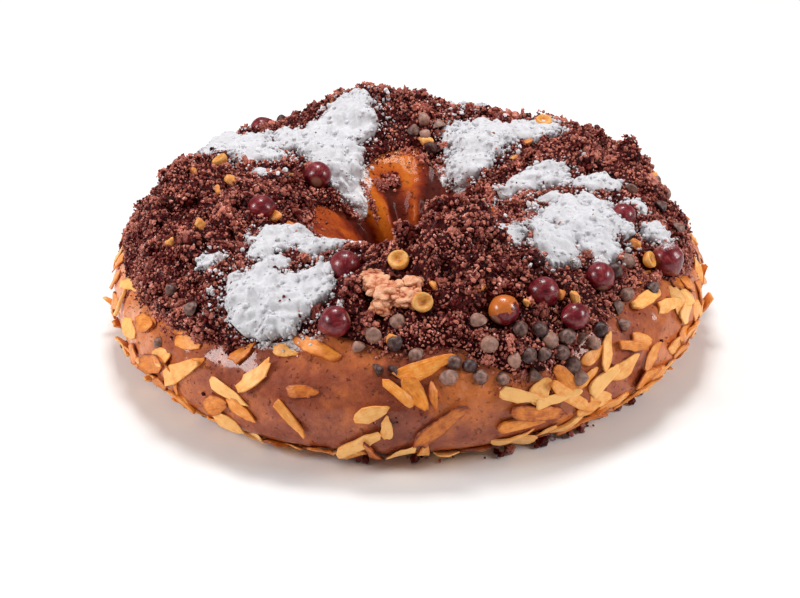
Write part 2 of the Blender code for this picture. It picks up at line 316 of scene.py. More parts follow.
@dataclass(frozen=True)
class CrumbBed:
    """How deep the crumb lies on the ring, as the solids have it."""

    form: RingForm
    depth: float = 0.0045
    ripple: float = 0.0007
    edge_round: float = 0.35
    outer_edge: float = 31.0
    inner_edge: float = 124.0
    outer_swings: Table = (
        (-56, 16, -3),
        (-14, 16, 20),
        (9, 8, 14),
        (23, 12, -9),
        (54, 13, 15),
        (84, 15, -6),
        (134, 15, -11),
        (172, 20, -14),
        (-148, 16, -13),
        (-100, 14, -8),
    )
    inner_swings: Table = (
        (180, 26, -10),
        (-122, 16, 8),
        (118, 18, 7),
        (55, 18, -5),
        (0, 26, 8),
        (-60, 18, -4),
    )
    heaps: Table = (
        (-94, 66, 0.022, 0.015, 0.0080),
        (-90, 42, 0.030, 0.014, -0.0030),
        (88, 38, 0.026, 0.016, -0.0030),
        (152, 58, 0.034, 0.022, -0.0028),
        (-176, 62, 0.026, 0.022, -0.0020),
        (-72, 50, 0.018, 0.014, 0.0025),
        (-80, 92, 0.016, 0.012, 0.0030),
        (-50, 58, 0.015, 0.016, 0.0025),
        (-3, 90, 0.014, 0.014, 0.0050),
        (17, 93, 0.021, 0.017, 0.0215),
        (43, 92, 0.011, 0.012, 0.0085),
        (4, 50, 0.016, 0.012, 0.0030),
        (72, 44, 0.014, 0.010, 0.0020),
        (90, 38, 0.013, 0.013, 0.0025),
        (108, 58, 0.012, 0.013, 0.0090),
        (124, 66, 0.012, 0.014, 0.0040),
        (138, 54, 0.015, 0.013, 0.0050),
        (158, 50, 0.015, 0.012, 0.0035),
        (176, 78, 0.013, 0.016, 0.0080),
        (-168, 80, 0.013, 0.015, 0.0130),
        (-160, 46, 0.016, 0.013, 0.0040),
        (-128, 44, 0.014, 0.012, 0.0035),
    )

    def edges(self, turn: Array) -> tuple[Array, Array]:
        """The leans of the bed's outer and inner edge."""
        outer = self.outer_edge + bumps(turn, self.outer_swings)
        return outer, self.inner_edge + bumps(turn, self.inner_swings)

    def height(self, turn: Array, lean: Array) -> Array:
        """Depth of the bed: (even depth + heaps + ripple) sin(pi share)^edge, 0 past its edges.

        Args:
            turn: Turns in degrees.
            lean: Leans in degrees.

        Returns:
            Metres of crumb above the crust.
        """
        total = np.full(np.broadcast(turn, lean).shape, self.depth)
        for middle_turn, middle_lean, half_round, half_across, high in self.heaps:
            x, y = self.form.around(turn, lean, (middle_turn, middle_lean))
            total += high * np.exp(-((x / half_round) ** 2) - (y / half_across) ** 2)
        waves = np.sin(np.radians(13 * turn + 4 * lean)) + np.sin(np.radians(-7 * turn + 6 * lean))
        outer, inner = self.edges(turn)
        share = np.clip((lean - outer) / (inner - outer), 0.0, 1.0)
        return (total + self.ripple * waves) * np.sin(np.pi * share) ** self.edge_round


# ------------------------------------------------------------------ meshes


@dataclass
class Shape:
    """A mesh in the making: points, faces as rows of point numbers, and numbers kept at points."""

    points: Array
    faces: list[Array]
    marks: dict[str, Array] = field(default_factory=dict)

    @property
    def triangles(self) -> int:
        """How many triangles the faces make."""
        return sum(len(rows) * (rows.shape[1] - 2) for rows in self.faces)

    def volume(self) -> float:
        """The volume inside, from the sum of a . (b x c) / 6 over the triangles."""
        total = 0.0
        for rows in self.faces:
            for k in range(1, rows.shape[1] - 1):
                a, b, c = (self.points[rows[:, j]] for j in (0, k, k + 1))
                total += float((a * np.cross(b, c)).sum()) / 6.0
        return total

    def outward(self) -> "Shape":
        """The same shape with its faces pointing out."""
        if self.volume() < 0.0:
            self.faces = [rows[:, ::-1] for rows in self.faces]
        return self

    def joined(self, other: "Shape") -> "Shape":
        """This shape and another as one, with the marks that both have."""
        offset = len(self.points)
        marks = {k: np.concatenate([self.marks[k], other.marks[k]]) for k in self.marks if k in other.marks}
        faces = self.faces + [rows + offset for rows in other.faces]
        return Shape(np.concatenate([self.points, other.points]), faces, marks)


def grid_faces(rows: int, columns: int, ring: bool = True, tube: bool = False) -> Array:
    """Four-cornered faces between the neighbours of a grid of points.

    Args:
        rows: Number of rows.
        columns: Number of points in a row.
        ring: Whether a row closes on itself.
        tube: Whether the last row meets the first.

    Returns:
        The faces as rows of four point numbers.
    """
    numbers = np.arange(rows * columns).reshape(rows, columns)
    if ring:
        numbers = np.concatenate([numbers, numbers[:, :1]], axis=1)
    if tube:
        numbers = np.concatenate([numbers, numbers[:1]], axis=0)
    a, b = numbers[:-1, :-1], numbers[:-1, 1:]
    c, d = numbers[1:, 1:], numbers[1:, :-1]
    return np.stack([a, b, c, d], axis=-1).reshape(-1, 4)


def ball(splits: int) -> Shape:
    """A ball of triangles: an icosahedron whose edges are halved a number of times.

    Args:
        splits: 0 gives 20 faces, 1 gives 80.

    Returns:
        The ball at radius 1.
    """
    g = (1.0 + math.sqrt(5.0)) / 2.0
    corners = [(-1, g, 0), (1, g, 0), (-1, -g, 0), (1, -g, 0), (0, -1, g), (0, 1, g)]
    corners += [(0, -1, -g), (0, 1, -g), (g, 0, -1), (g, 0, 1), (-g, 0, -1), (-g, 0, 1)]
    points = unit(np.array(corners, dtype=float))
    gaps = np.linalg.norm(points[:, None] - points[None], axis=-1)
    near = (gaps > 0.1) & (gaps < 1.1)
    i, j, k = np.nonzero(near[:, :, None] & near[None, :, :] & near[:, None, :])
    faces = np.stack([i, j, k], axis=-1)[(i < j) & (j < k)]
    for _ in range(splits):
        points, faces = halved(points, faces)
    return Shape(points, [facing_out(points, faces)])


def halved(points: Array, faces: Array) -> tuple[Array, Array]:
    """Each triangle as four: its edges' middles, pushed out to radius 1, become points."""
    edges = np.sort(np.concatenate([faces[:, [0, 1]], faces[:, [1, 2]], faces[:, [2, 0]]]), axis=1)
    unique, index = np.unique(edges, axis=0, return_inverse=True)
    middle = unit(points[unique].mean(axis=1))
    ab, bc, ca = (index.reshape(3, -1) + len(points))[:3]
    a, b, c = faces.T
    quarters = [(a, ab, ca), (b, bc, ab), (c, ca, bc), (ab, bc, ca)]
    return np.concatenate([points, middle]), np.concatenate([np.stack(q, axis=-1) for q in quarters])


def facing_out(points: Array, faces: Array) -> Array:
    """Triangles of a shape round the origin, each turned to face away from it."""
    a, b, c = (points[faces[:, k]] for k in range(3))
    inward = (np.cross(b - a, c - a) * (a + b + c)).sum(axis=-1) < 0.0
    return np.where(inward[:, None], faces[:, ::-1], faces)


def octahedron() -> Shape:
    """A ball of eight triangles at radius 1."""
    points = np.array([(1, 0, 0), (-1, 0, 0), (0, 1, 0), (0, -1, 0), (0, 0, 1), (0, 0, -1)], float)
    faces = np.array([(x, y, z) for x in (0, 1) for y in (2, 3) for z in (4, 5)])
    return Shape(points, [facing_out(points, faces)])


def pillow(rows: int, columns: int) -> Shape:
    """A closed form with a point at each pole, on a grid of height and angle.

    Args:
        rows: Rows between the poles.
        columns: Points in each row.

    Returns:
        A shape whose marks hold each point's polar angle and its angle round the axis.
    """
    polar = np.linspace(0.0, np.pi, rows + 2)[1:-1]
    angle = np.linspace(0.0, 2 * np.pi, columns, endpoint=False)
    polar, angle = (grid.ravel() for grid in np.meshgrid(polar, angle, indexing="ij"))
    polar = np.concatenate([polar, [0.0, np.pi]])
    angle = np.concatenate([angle, [0.0, 0.0]])
    points = np.stack([np.sin(polar) * np.cos(angle), np.sin(polar) * np.sin(angle), np.cos(polar)], -1)
    first = np.arange(columns)
    last = first + (rows - 1) * columns
    top = np.stack([np.roll(first, -1), first, np.full(columns, rows * columns)], axis=-1)
    bottom = np.stack([last, np.roll(last, -1), np.full(columns, rows * columns + 1)], axis=-1)
    sides = grid_faces(rows, columns)[:, ::-1]
    shape = Shape(points, [sides, top[:, ::-1], bottom[:, ::-1]], {"polar": polar, "angle": angle})
    return shape.outward()


def strewn(template: Shape, points: Array, axes: Array, middle: Array) -> Shape:
    """Copies of a template joined in one shape.

    Args:
        template: The shape whose faces are repeated.
        points: Each copy's own points, as copies x points x 3.
        axes: Each copy's three axes, as rows.
        middle: Each copy's place.

    Returns:
        The joined shape, with its points in the scene.
    """
    count, size = points.shape[:2]
    placed = np.einsum("nkj,nji->nki", points, axes) + middle[:, None]
    offsets = np.arange(count)[:, None, None] * size
    faces = [(rows[None] + offsets).reshape(-1, rows.shape[1]) for rows in template.faces]
    return Shape(placed.reshape(-1, 3), faces)


def axes_on(normal: Array, spin: Array, tilt: Array) -> Array:
    """Three axes for each piece that lies on a surface.

    Args:
        normal: Outward normals, which become the third axis before the tilt.
        spin: Angle of the first axis from the direction round the ring, in radians.
        tilt: How far the piece is turned about its first axis, in radians.

    Returns:
        The axes as rows, pieces x 3 x 3.
    """
    up = np.array([0.0, 0.0, 1.0])
    level = np.cross(up, normal)
    level = np.where(np.linalg.norm(level, axis=-1, keepdims=True) > 1e-3, level, [1.0, 0.0, 0.0])
    level = unit(level)
    across = np.cross(normal, level)
    cosine, sine = np.cos(spin)[:, None], np.sin(spin)[:, None]
    first = level * cosine + across * sine
    second = across * cosine - level * sine
    cosine, sine = np.cos(tilt)[:, None], np.sin(tilt)[:, None]
    return np.stack([first, second * cosine + normal * sine, normal * cosine - second * sine], axis=1)


def any_axes(count: int, rng: np.random.Generator) -> Array:
    """Random axes for pieces that lie any way up."""
    first = unit(rng.normal(size=(count, 3)))
    second = unit(np.cross(first, rng.normal(size=(count, 3))))
    return np.stack([first, second, np.cross(first, second)], axis=1)


def spaced(middle: Array, reach: Array, first: int = 0) -> Array:
    """Which pieces stay when each in turn is left out if it comes too close to one that stays.

    Args:
        middle: The places, in order of preference.
        reach: Each piece's own reach; two pieces keep the sum of theirs apart.
        first: How many at the start stay in any case.

    Returns:
        A true or false for each piece.
    """
    keep = np.ones(len(middle), dtype=bool)
    gaps = np.linalg.norm(middle[:, None] - middle[None], axis=-1)
    close = gaps < reach[:, None] + reach[None]
    for number in range(first, len(middle)):
        keep[number] = not (close[number, :number] & keep[:number]).any()
    return keep


# ------------------------------------------------------------------ shader expressions


class Wire:
    """A shader value that takes part in sums: each operator adds its Math node."""

    def __init__(self, finish: "NodeTree", socket: bpy.types.NodeSocket) -> None:
        """Keeps the node tree and the output socket."""
        self.finish = finish
        self.socket = socket

    def _math(self, operation: str, first: "Wire | float", second: "Wire | float") -> "Wire":
        """The result of one Math node."""
        return self.finish.node("ShaderNodeMath", {"operation": operation}, {0: first, 1: second})

    def __add__(self, other: "Wire | float") -> "Wire":
        """The sum."""
        return self._math("ADD", self, other)

    def __radd__(self, other: float) -> "Wire":
        """The sum, with the number first."""
        return self._math("ADD", other, self)

    def __sub__(self, other: "Wire | float") -> "Wire":
        """The difference."""
        return self._math("SUBTRACT", self, other)

    def __rsub__(self, other: float) -> "Wire":
        """The difference, with the number first."""
        return self._math("SUBTRACT", other, self)

    def __mul__(self, other: "Wire | float") -> "Wire":
        """The product."""
        return self._math("MULTIPLY", self, other)

    def __rmul__(self, other: float) -> "Wire":
        """The product, with the number first."""
        return self._math("MULTIPLY", other, self)

    def __pow__(self, other: float) -> "Wire":
        """The power."""
        return self._math("POWER", self, other)

    def between(self, low: float, high: float) -> "Wire":
        """A smooth step from 0 at low to 1 at high."""
        settings = {"interpolation_type": "SMOOTHSTEP"}
        sockets = {0: self, 1: low, 2: high, 3: 0.0, 4: 1.0}
        return self.finish.node("ShaderNodeMapRange", settings, sockets)


Colour = tuple[float, float, float]
Input = Wire | float | tuple[float, ...]


class NodeTree:
    """The nodes of one material, each added by the same method."""

    def __init__(self, name: str) -> None:
        """Starts a material that holds a Principled shader alone."""
        self.material = bpy.data.materials.new(name)
        self.material.use_nodes = True
        self.tree = self.material.node_tree
        self.shader = self.tree.nodes["Principled BSDF"]

    def node(self, kind: str, settings: dict, sockets: dict, output: int | str = 0) -> Wire:
        """Adds a node of any type.

        Args:
            kind: The node's type.
            settings: Its properties, or "stops" for a ramp's places and colours, set first.
            sockets: The value or wire of each input, by number or name.
            output: The output that is wanted.

        Returns:
            The output as a wire.
        """
        made = self.tree.nodes.new(kind)
        for name, value in settings.items():
            if name == "stops":
                self._set_stops(made.color_ramp, value)
            else:
                setattr(made, name, value)
        for name, value in sockets.items():
            self.plug(made.inputs[name], value)
        return Wire(self, made.outputs[output])

    @staticmethod
    def _set_stops(ramp: bpy.types.ColorRamp, stops: tuple[tuple[float, Colour], ...]) -> None:
        """Gives a colour ramp its places and colours."""
        while len(ramp.elements) < len(stops):
            ramp.elements.new(1.0)
        for element, (place, colour) in zip(ramp.elements, stops):
            element.position = place
            element.color = (*colour, 1.0)

    def plug(self, socket: bpy.types.NodeSocket, value: Input) -> None:
        """Links a wire to an input, or sets the input's own number or colour."""
        if isinstance(value, Wire):
            self.tree.links.new(value.socket, socket)
        elif isinstance(value, tuple) and socket.type == "RGBA":
            socket.default_value = (*value[:3], 1.0)
        else:
            socket.default_value = value

    def place(self, stretch: Colour = (1.0, 1.0, 1.0), turned: Colour = (0.0, 0.0, 0.0)) -> Wire:
        """Object coordinates, stretched and turned by a Mapping node."""
        spot = self.node("ShaderNodeTexCoord", {}, {}, "Object")
        return self.node("ShaderNodeMapping", {}, {"Vector": spot, "Rotation": turned, "Scale": stretch})

    def mark(self, name: str, output: str = "Fac") -> Wire:
        """A number or vector kept at the mesh's points."""
        return self.node("ShaderNodeAttribute", {"attribute_name": name}, {}, output)

    def noise(self, where: Wire, scale: float, detail: float = 3.0, rough: float = 0.55) -> Wire:
        """Cloudy noise from 0 to 1."""
        sockets = {"Vector": where, "Scale": scale, "Detail": detail, "Roughness": rough}
        return self.node("ShaderNodeTexNoise", {}, sockets)

    def cells(self, where: Wire, scale: float, feature: str = "F1", output: str = "Distance") -> Wire:
        """Distances or colours of packed cells."""
        return self.node("ShaderNodeTexVoronoi", {"feature": feature}, {"Vector": where, "Scale": scale}, output)

    def ramp(self, value: Wire, *stops: tuple[float, Colour]) -> Wire:
        """A colour picked by a value."""
        return self.node("ShaderNodeValToRGB", {"stops": stops}, {0: value}, "Color")

    def blend(self, share: Input, first: Input, second: Input, how: str = "MIX") -> Wire:
        """Two colours mixed by a share."""
        settings = {"data_type": "RGBA", "blend_type": how}
        return self.node("ShaderNodeMix", settings, {0: share, 6: first, 7: second}, 2)

    def upward(self) -> Wire:
        """How far the surface faces up, from -1 to 1."""
        normal = self.node("ShaderNodeNewGeometry", {}, {}, "Normal")
        return self.node("ShaderNodeSeparateXYZ", {}, {0: normal}, "Z")

    def finish(self, colour: Input, roughness: Input, relief: Wire, depth: float, **fixed: float) -> None:
        """Dresses the shader.

        Args:
            colour: Base colour.
            roughness: Roughness.
            relief: Height that a Bump node turns into a normal, in units of depth.
            depth: Metres that the relief stands for.
            **fixed: Other sockets by name, with _ for a space, set to plain numbers or wires.
        """
        self.plug(self.shader.inputs["Base Color"], colour)
        self.plug(self.shader.inputs["Roughness"], roughness)
        bump = self.node("ShaderNodeBump", {}, {"Strength": 1.0, "Distance": depth, "Height": relief}, "Normal")
        self.plug(self.shader.inputs["Normal"], bump)
        for name, value in fixed.items():
            self.plug(self.shader.inputs[name.replace("_", " ")], value)


def srgb(red: int, green: int, blue: int) -> Colour:
    """A colour of the screen, 0 to 255, as the linear numbers of a shader."""
    shares = [channel / 255.0 for channel in (red, green, blue)]
    return tuple(s / 12.92 if s <= 0.04045 else ((s + 0.055) / 1.055) ** 2.4 for s in shares)


# ------------------------------------------------------------------ finishes


@dataclass(frozen=True)
class CrustFinish:
    """Egg-washed crust: pale to dark by its baking, paler on the left and right flanks as painted light, with
    blisters, specks and a soft shine.
    """

    pale: Colour = srgb(243, 174, 138)
    golden: Colour = srgb(213, 119, 60)
    brown: Colour = srgb(158, 80, 54)
    dark: Colour = srgb(84, 18, 6)
    caramel: Colour = srgb(198, 104, 16)
    wine: Colour = srgb(66, 6, 4)

    def make(self) -> bpy.types.Material:
        """The material."""
        nodes = NodeTree("egg_washed_crust")
        where = nodes.place()
        # Baking tone, with painted light that makes the left and right flanks paler.
        baked_and_lit = nodes.mark("bake_and_light")
        hole = nodes.mark("hole")
        dust = nodes.mark("dust")
        clouds_wide = nodes.noise(where, 48.0, 5.0, 0.62)
        clouds_fine = nodes.noise(where, 240.0, 5.0, 0.68)
        tone = baked_and_lit + 1.0 * (clouds_wide - 0.5) + 0.45 * (clouds_fine - 0.5)
        colour = nodes.ramp(tone, (0.0, self.pale), (0.30, self.golden), (0.60, self.brown), (1.0, self.dark))
        streaks = nodes.noise(nodes.place((1.0, 1.0, 0.40)), 75.0, 4.0, 0.55)
        value = nodes.mark("fold") + 0.9 * (streaks - 0.5) + 0.3 * (clouds_fine - 0.5)
        # Caramel on the folds' backs to wine in the gaps between them: glaze colour, with painted shade in the gaps.
        stops = ((0.08, self.caramel), (0.34, srgb(186, 84, 18)), (0.58, srgb(122, 34, 12)), (0.86, self.wine))
        glaze_and_gap_shade = nodes.ramp(value, *stops)
        colour = nodes.blend(hole, colour, glaze_and_gap_shade)
        pits = nodes.noise(where, 420.0, 4.0, 0.7).between(0.60, 0.70)
        patchy = nodes.noise(where, 70.0, 2.0).between(0.48, 0.62)
        colour = nodes.blend(pits * (0.15 + 0.65 * patchy), colour, self.dark)
        bloom = nodes.noise(where, 150.0, 5.0, 0.7).between(0.58, 0.80)
        colour = nodes.blend(bloom * 0.22, colour, self.pale)
        powder = (dust * (0.35 + nodes.noise(where, 900.0, 3.0, 0.7))).between(0.42, 0.62)
        colour = nodes.blend(powder, colour, srgb(226, 222, 222))
        roughness = 0.26 + 0.28 * clouds_fine + 0.35 * powder + 0.22 * hole
        blister = nodes.cells(where, 190.0)
        relief = 0.6 * clouds_fine + 0.35 * blister + 0.3 * nodes.noise(where, 800.0, 3.0, 0.6) - 0.8 * pits
        coat = 0.45 * (1.0 - powder) * (1.0 - 0.85 * hole)
        nodes.finish(colour, roughness, relief, 0.0010, Coat_Weight=coat, Coat_Roughness=0.12, Specular_IOR_Level=0.1)
        return nodes.material


@dataclass(frozen=True)
class CrumbFinish:
    """Dry crumbled chocolate cake: matte red-brown grains, with shade painted dark in their hollows and light painted
    on their crests.
    """

    name: str
    light: Colour = srgb(214, 132, 112)
    middle: Colour = srgb(100, 16, 14)
    dark: Colour = srgb(28, 0, 2)
    bump: float = 0.0007

    def make(self) -> bpy.types.Material:
        """The material."""
        nodes = NodeTree(self.name)
        where = nodes.place()
        # The tone mark holds each grain's own tone plus painted shade in hollows and painted light on crests and
        # outer grains.
        tone = nodes.mark("tone")
        dust = nodes.mark("dust")
        patches = nodes.noise(where, 420.0, 4.0, 0.65)
        pores = nodes.cells(where, 1400.0)
        value = tone + 0.9 * (patches - 0.5) + 0.35 * (pores - 0.45)
        colour = nodes.ramp(value, (0.12, self.dark), (0.50, self.middle), (1.0, self.light))
        grain = nodes.noise(where, 1500.0, 3.0, 0.7)
        facing = nodes.upward().between(-0.5, 0.5)
        powder = (dust * (0.30 + grain) * (0.5 + 0.5 * facing)).between(0.40, 0.70)
        colour = nodes.blend(powder, colour, srgb(226, 220, 222))
        relief = 0.55 * patches + 0.45 * pores + 0.4 * grain
        roughness = 0.30 + 0.22 * patches + 0.4 * powder
        moist = 0.42 * (tone - 0.15).between(0.0, 0.5)
        nodes.finish(colour, roughness, relief, self.bump, Coat_Weight=moist, Coat_Roughness=0.22,
                     Specular_IOR_Level=0.12)
        return nodes.material


@dataclass(frozen=True)
class SugarFinish:
    """Icing sugar: matte white powder, with faint grey shade painted in its hollows."""

    name: str = "powdered_sugar"
    white: Colour = srgb(212, 211, 214)
    shade_grey: Colour = srgb(194, 191, 195)

    def make(self) -> bpy.types.Material:
        """The material."""
        nodes = NodeTree(self.name)
        where = nodes.place()
        lumps = nodes.noise(where, 520.0, 5.0, 0.62)
        grains = nodes.noise(where, 2600.0, 3.0, 0.7)
        # Grey where the lumps' relief is low: painted shade in the hollows.
        colour = nodes.ramp(lumps, (0.30, self.shade_grey), (0.58, self.white))
        relief = 0.8 * lumps + 0.3 * grains
        nodes.finish(colour, 0.95, relief, 0.0004, Specular_IOR_Level=0.2)
        return nodes.material


@dataclass(frozen=True)
class NutFinish:
    """Roasted hazelnut skin: wine-brown with fine streaks from base to tip, bare gold where it has come off."""

    skin: Colour = srgb(116, 16, 28)
    deep: Colour = srgb(50, 0, 8)
    bloom: Colour = srgb(184, 88, 84)
    kernel: Colour = srgb(212, 116, 36)

    def make(self) -> bpy.types.Material:
        """The material."""
        nodes = NodeTree("roasted_nut_skin")
        own = nodes.mark("own", "Vector")
        along = nodes.node("ShaderNodeMapping", {}, {"Vector": own, "Scale": (0.25, 1.0, 1.0)})
        streaks = nodes.noise(along, 1100.0, 3.0, 0.6)
        mottle = nodes.noise(own, 260.0, 4.0, 0.6)
        bare = nodes.mark("bare")
        scar = nodes.mark("scar")
        dust = nodes.mark("dust")
        colour = nodes.ramp(0.55 * streaks + 0.5 * mottle, (0.36, self.deep), (0.54, self.skin), (0.86, self.bloom))
        flayed = (bare + 1.7 * (nodes.noise(own, 170.0, 3.0, 0.6) - 0.5)).between(0.40, 0.50)
        colour = nodes.blend(flayed, colour, nodes.blend(streaks, self.kernel, srgb(176, 88, 38)))
        colour = nodes.blend(scar, colour, srgb(150, 104, 84))
        grain = nodes.noise(own, 1500.0, 3.0, 0.7)
        powder = (dust * (0.3 + grain)).between(0.40, 0.62)
        colour = nodes.blend(powder, colour, srgb(232, 229, 230))
        relief = 0.6 * streaks + 0.5 * mottle - 0.5 * flayed
        roughness = 0.24 + 0.22 * mottle + 0.45 * powder
        nodes.finish(colour, roughness, relief, 0.0004, Coat_Weight=0.5 * (1.0 - powder), Coat_Roughness=0.16,
                     Specular_IOR_Level=0.3)
        return nodes.material


@dataclass(frozen=True)
class ChipFinish:
    """Chocolate drops with a grey bloom from the oven, and painted light growing towards the tip."""

    cocoa: Colour = srgb(50, 22, 26)
    bloom: Colour = srgb(186, 138, 118)

    def make(self) -> bpy.types.Material:
        """The material."""
        nodes = NodeTree("bloomed_chocolate")
        where = nodes.place()
        tone = nodes.mark("tone")
        mottle = nodes.noise(where, 520.0, 4.0, 0.6)
        # The drop's own tone and mottle, plus painted light from the rim mark, which is the height up the drop.
        value = 0.62 * tone + 1.2 * (mottle - 0.5) - 0.02 + 0.12 * nodes.mark("rim")
        colour = nodes.blend(value.between(0.0, 1.0), self.cocoa, self.bloom)
        grain = nodes.noise(where, 1600.0, 3.0, 0.7)
        powder = (nodes.mark("dust") * (0.3 + grain)).between(0.42, 0.64)
        colour = nodes.blend(powder, colour, srgb(232, 229, 230))
        nodes.finish(colour, 0.34 + 0.25 * mottle, 0.6 * mottle + 0.3 * grain, 0.0003)
        return nodes.material


@dataclass(frozen=True)
class AlmondFinish:
    """Toasted almond: straw to amber, browner at the rim, with fine grain along the flake."""

    name: str
    straw: Colour = srgb(255, 192, 112)
    amber: Colour = srgb(236, 140, 46)
    toast: Colour = srgb(180, 84, 22)
    char: Colour = srgb(84, 24, 6)

    def make(self) -> bpy.types.Material:
        """The material."""
        nodes = NodeTree(self.name)
        own = nodes.mark("own", "Vector")
        tint = nodes.mark("tone")
        rim = nodes.mark("rim")
        dust = nodes.mark("dust")
        along = nodes.node("ShaderNodeMapping", {}, {"Vector": own, "Scale": (0.22, 1.0, 1.0)})
        grain = nodes.noise(along, 1300.0, 3.0, 0.6)
        mottle = nodes.noise(own, 300.0, 4.0, 0.6)
        value = tint + 0.90 * (mottle - 0.5) + 0.50 * (grain - 0.5) + (0.10 + 0.30 * tint) * rim**8.0
        stops = ((0.05, self.straw), (0.45, self.amber), (0.80, self.toast), (1.1, self.char))
        colour = nodes.ramp(value * 0.9, *stops)
        fine = nodes.noise(own, 1700.0, 3.0, 0.7)
        powder = (dust * (0.3 + fine)).between(0.38, 0.66)
        colour = nodes.blend(powder * 0.85, colour, srgb(234, 226, 222))
        relief = 0.6 * grain + 0.5 * mottle
        nodes.finish(colour, 0.30 + 0.2 * mottle + 0.3 * powder, relief, 0.0005, Specular_IOR_Level=0.45)
        return nodes.material


@dataclass(frozen=True)
class DoughFinish:
    """Torn crumb of the bread: cream, with peach and rust painted as shade in its hollows, moist."""

    cream: Colour = srgb(230, 172, 134)
    peach: Colour = srgb(204, 122, 82)
    rust: Colour = srgb(150, 64, 34)

    def make(self) -> bpy.types.Material:
        """The material."""
        nodes = NodeTree("torn_dough")
        where = nodes.place()
        mottle = nodes.noise(where, 420.0, 4.0, 0.65)
        pores = nodes.cells(where, 1100.0)
        # The tone mark follows the lumps' height, so the hollows get peach and rust as painted shade.
        value = nodes.mark("tone") + 0.8 * (mottle - 0.5) + 0.25 * (pores - 0.4)
        colour = nodes.ramp(value, (0.18, self.rust), (0.38, self.peach), (0.72, self.cream))
        nodes.finish(colour, 0.55, 0.6 * mottle + 0.4 * pores, 0.0006, Specular_IOR_Level=0.35)
        return nodes.material


@dataclass(frozen=True)
class FloorFinish:
    """A plain pale table."""

    colour: Colour = (0.90, 0.90, 0.90)

    def make(self) -> bpy.types.Material:
        """The material."""
        nodes = NodeTree("pale_table")
        grain = nodes.noise(nodes.place(), 40.0, 2.0)
        colour = nodes.blend(grain, self.colour, tuple(0.985 * c for c in self.colour))
        nodes.finish(colour, 0.9, grain, 0.00001)
        return nodes.material


# ------------------------------------------------------------------ the maker's bench


@dataclass
class Bench:
    """Turns shapes into pieces of the scene and hides the solids that they stand for."""

    made: list[bpy.types.Object] = field(default_factory=list)

    def piece(self, name: str, shape: Shape, look: bpy.types.Material, smooth: bool = True,
              stands_for: tuple[str, ...] = ()) -> bpy.types.Object:
        """Makes an object from a shape and lets it ride on the ring.

        Args:
            name: The piece's name.
            shape: Its mesh and the numbers kept at its points.
            look: Its material.
            smooth: Whether its faces are shaded as one surface.
            stands_for: The solids that it replaces.

        Returns:
            The object.
        """
        obj = self.solid(name, shape, look, smooth)
        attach(obj, "root")
        if stands_for:
            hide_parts(*stands_for)
        log.info("%s: %d points, %d triangles", name, len(shape.points), shape.triangles)
        self.made.append(obj)
        return obj

    @staticmethod
    def solid(name: str, shape: Shape, look: bpy.types.Material, smooth: bool = True) -> bpy.types.Object:
        """A plain object from a shape, with its marks as attributes."""
        mesh = bpy.data.meshes.new(name)
        counts = np.concatenate([np.full(len(rows), rows.shape[1]) for rows in shape.faces])
        corners = np.concatenate([rows.ravel() for rows in shape.faces])
        mesh.vertices.add(len(shape.points))
        mesh.vertices.foreach_set("co", np.ascontiguousarray(shape.points, dtype=np.float32).ravel())
        mesh.loops.add(len(corners))
        mesh.loops.foreach_set("vertex_index", corners.astype(np.int32))
        mesh.polygons.add(len(counts))
        starts = np.concatenate([[0], np.cumsum(counts)[:-1]])
        mesh.polygons.foreach_set("loop_start", starts.astype(np.int32))
        mesh.update(calc_edges=True)
        mesh.polygons.foreach_set("use_smooth", np.full(len(counts), smooth))
        for mark, values in shape.marks.items():
            vector = values.ndim == 2
            kept = mesh.attributes.new(mark, "FLOAT_VECTOR" if vector else "FLOAT", "POINT")
            key = "vector" if vector else "value"
            kept.data.foreach_set(key, np.ascontiguousarray(values, dtype=np.float32).ravel())
        mesh.materials.append(look)
        obj = bpy.data.objects.new(name, mesh)
        bpy.context.scene.collection.objects.link(obj)
        return obj


def nodes_named(start: str) -> tuple[str, ...]:
    """The names of the solids that start with a word."""
    return tuple(name for name in NODE_NAMES if name.startswith(start))


# ------------------------------------------------------------------ sub-assemblies


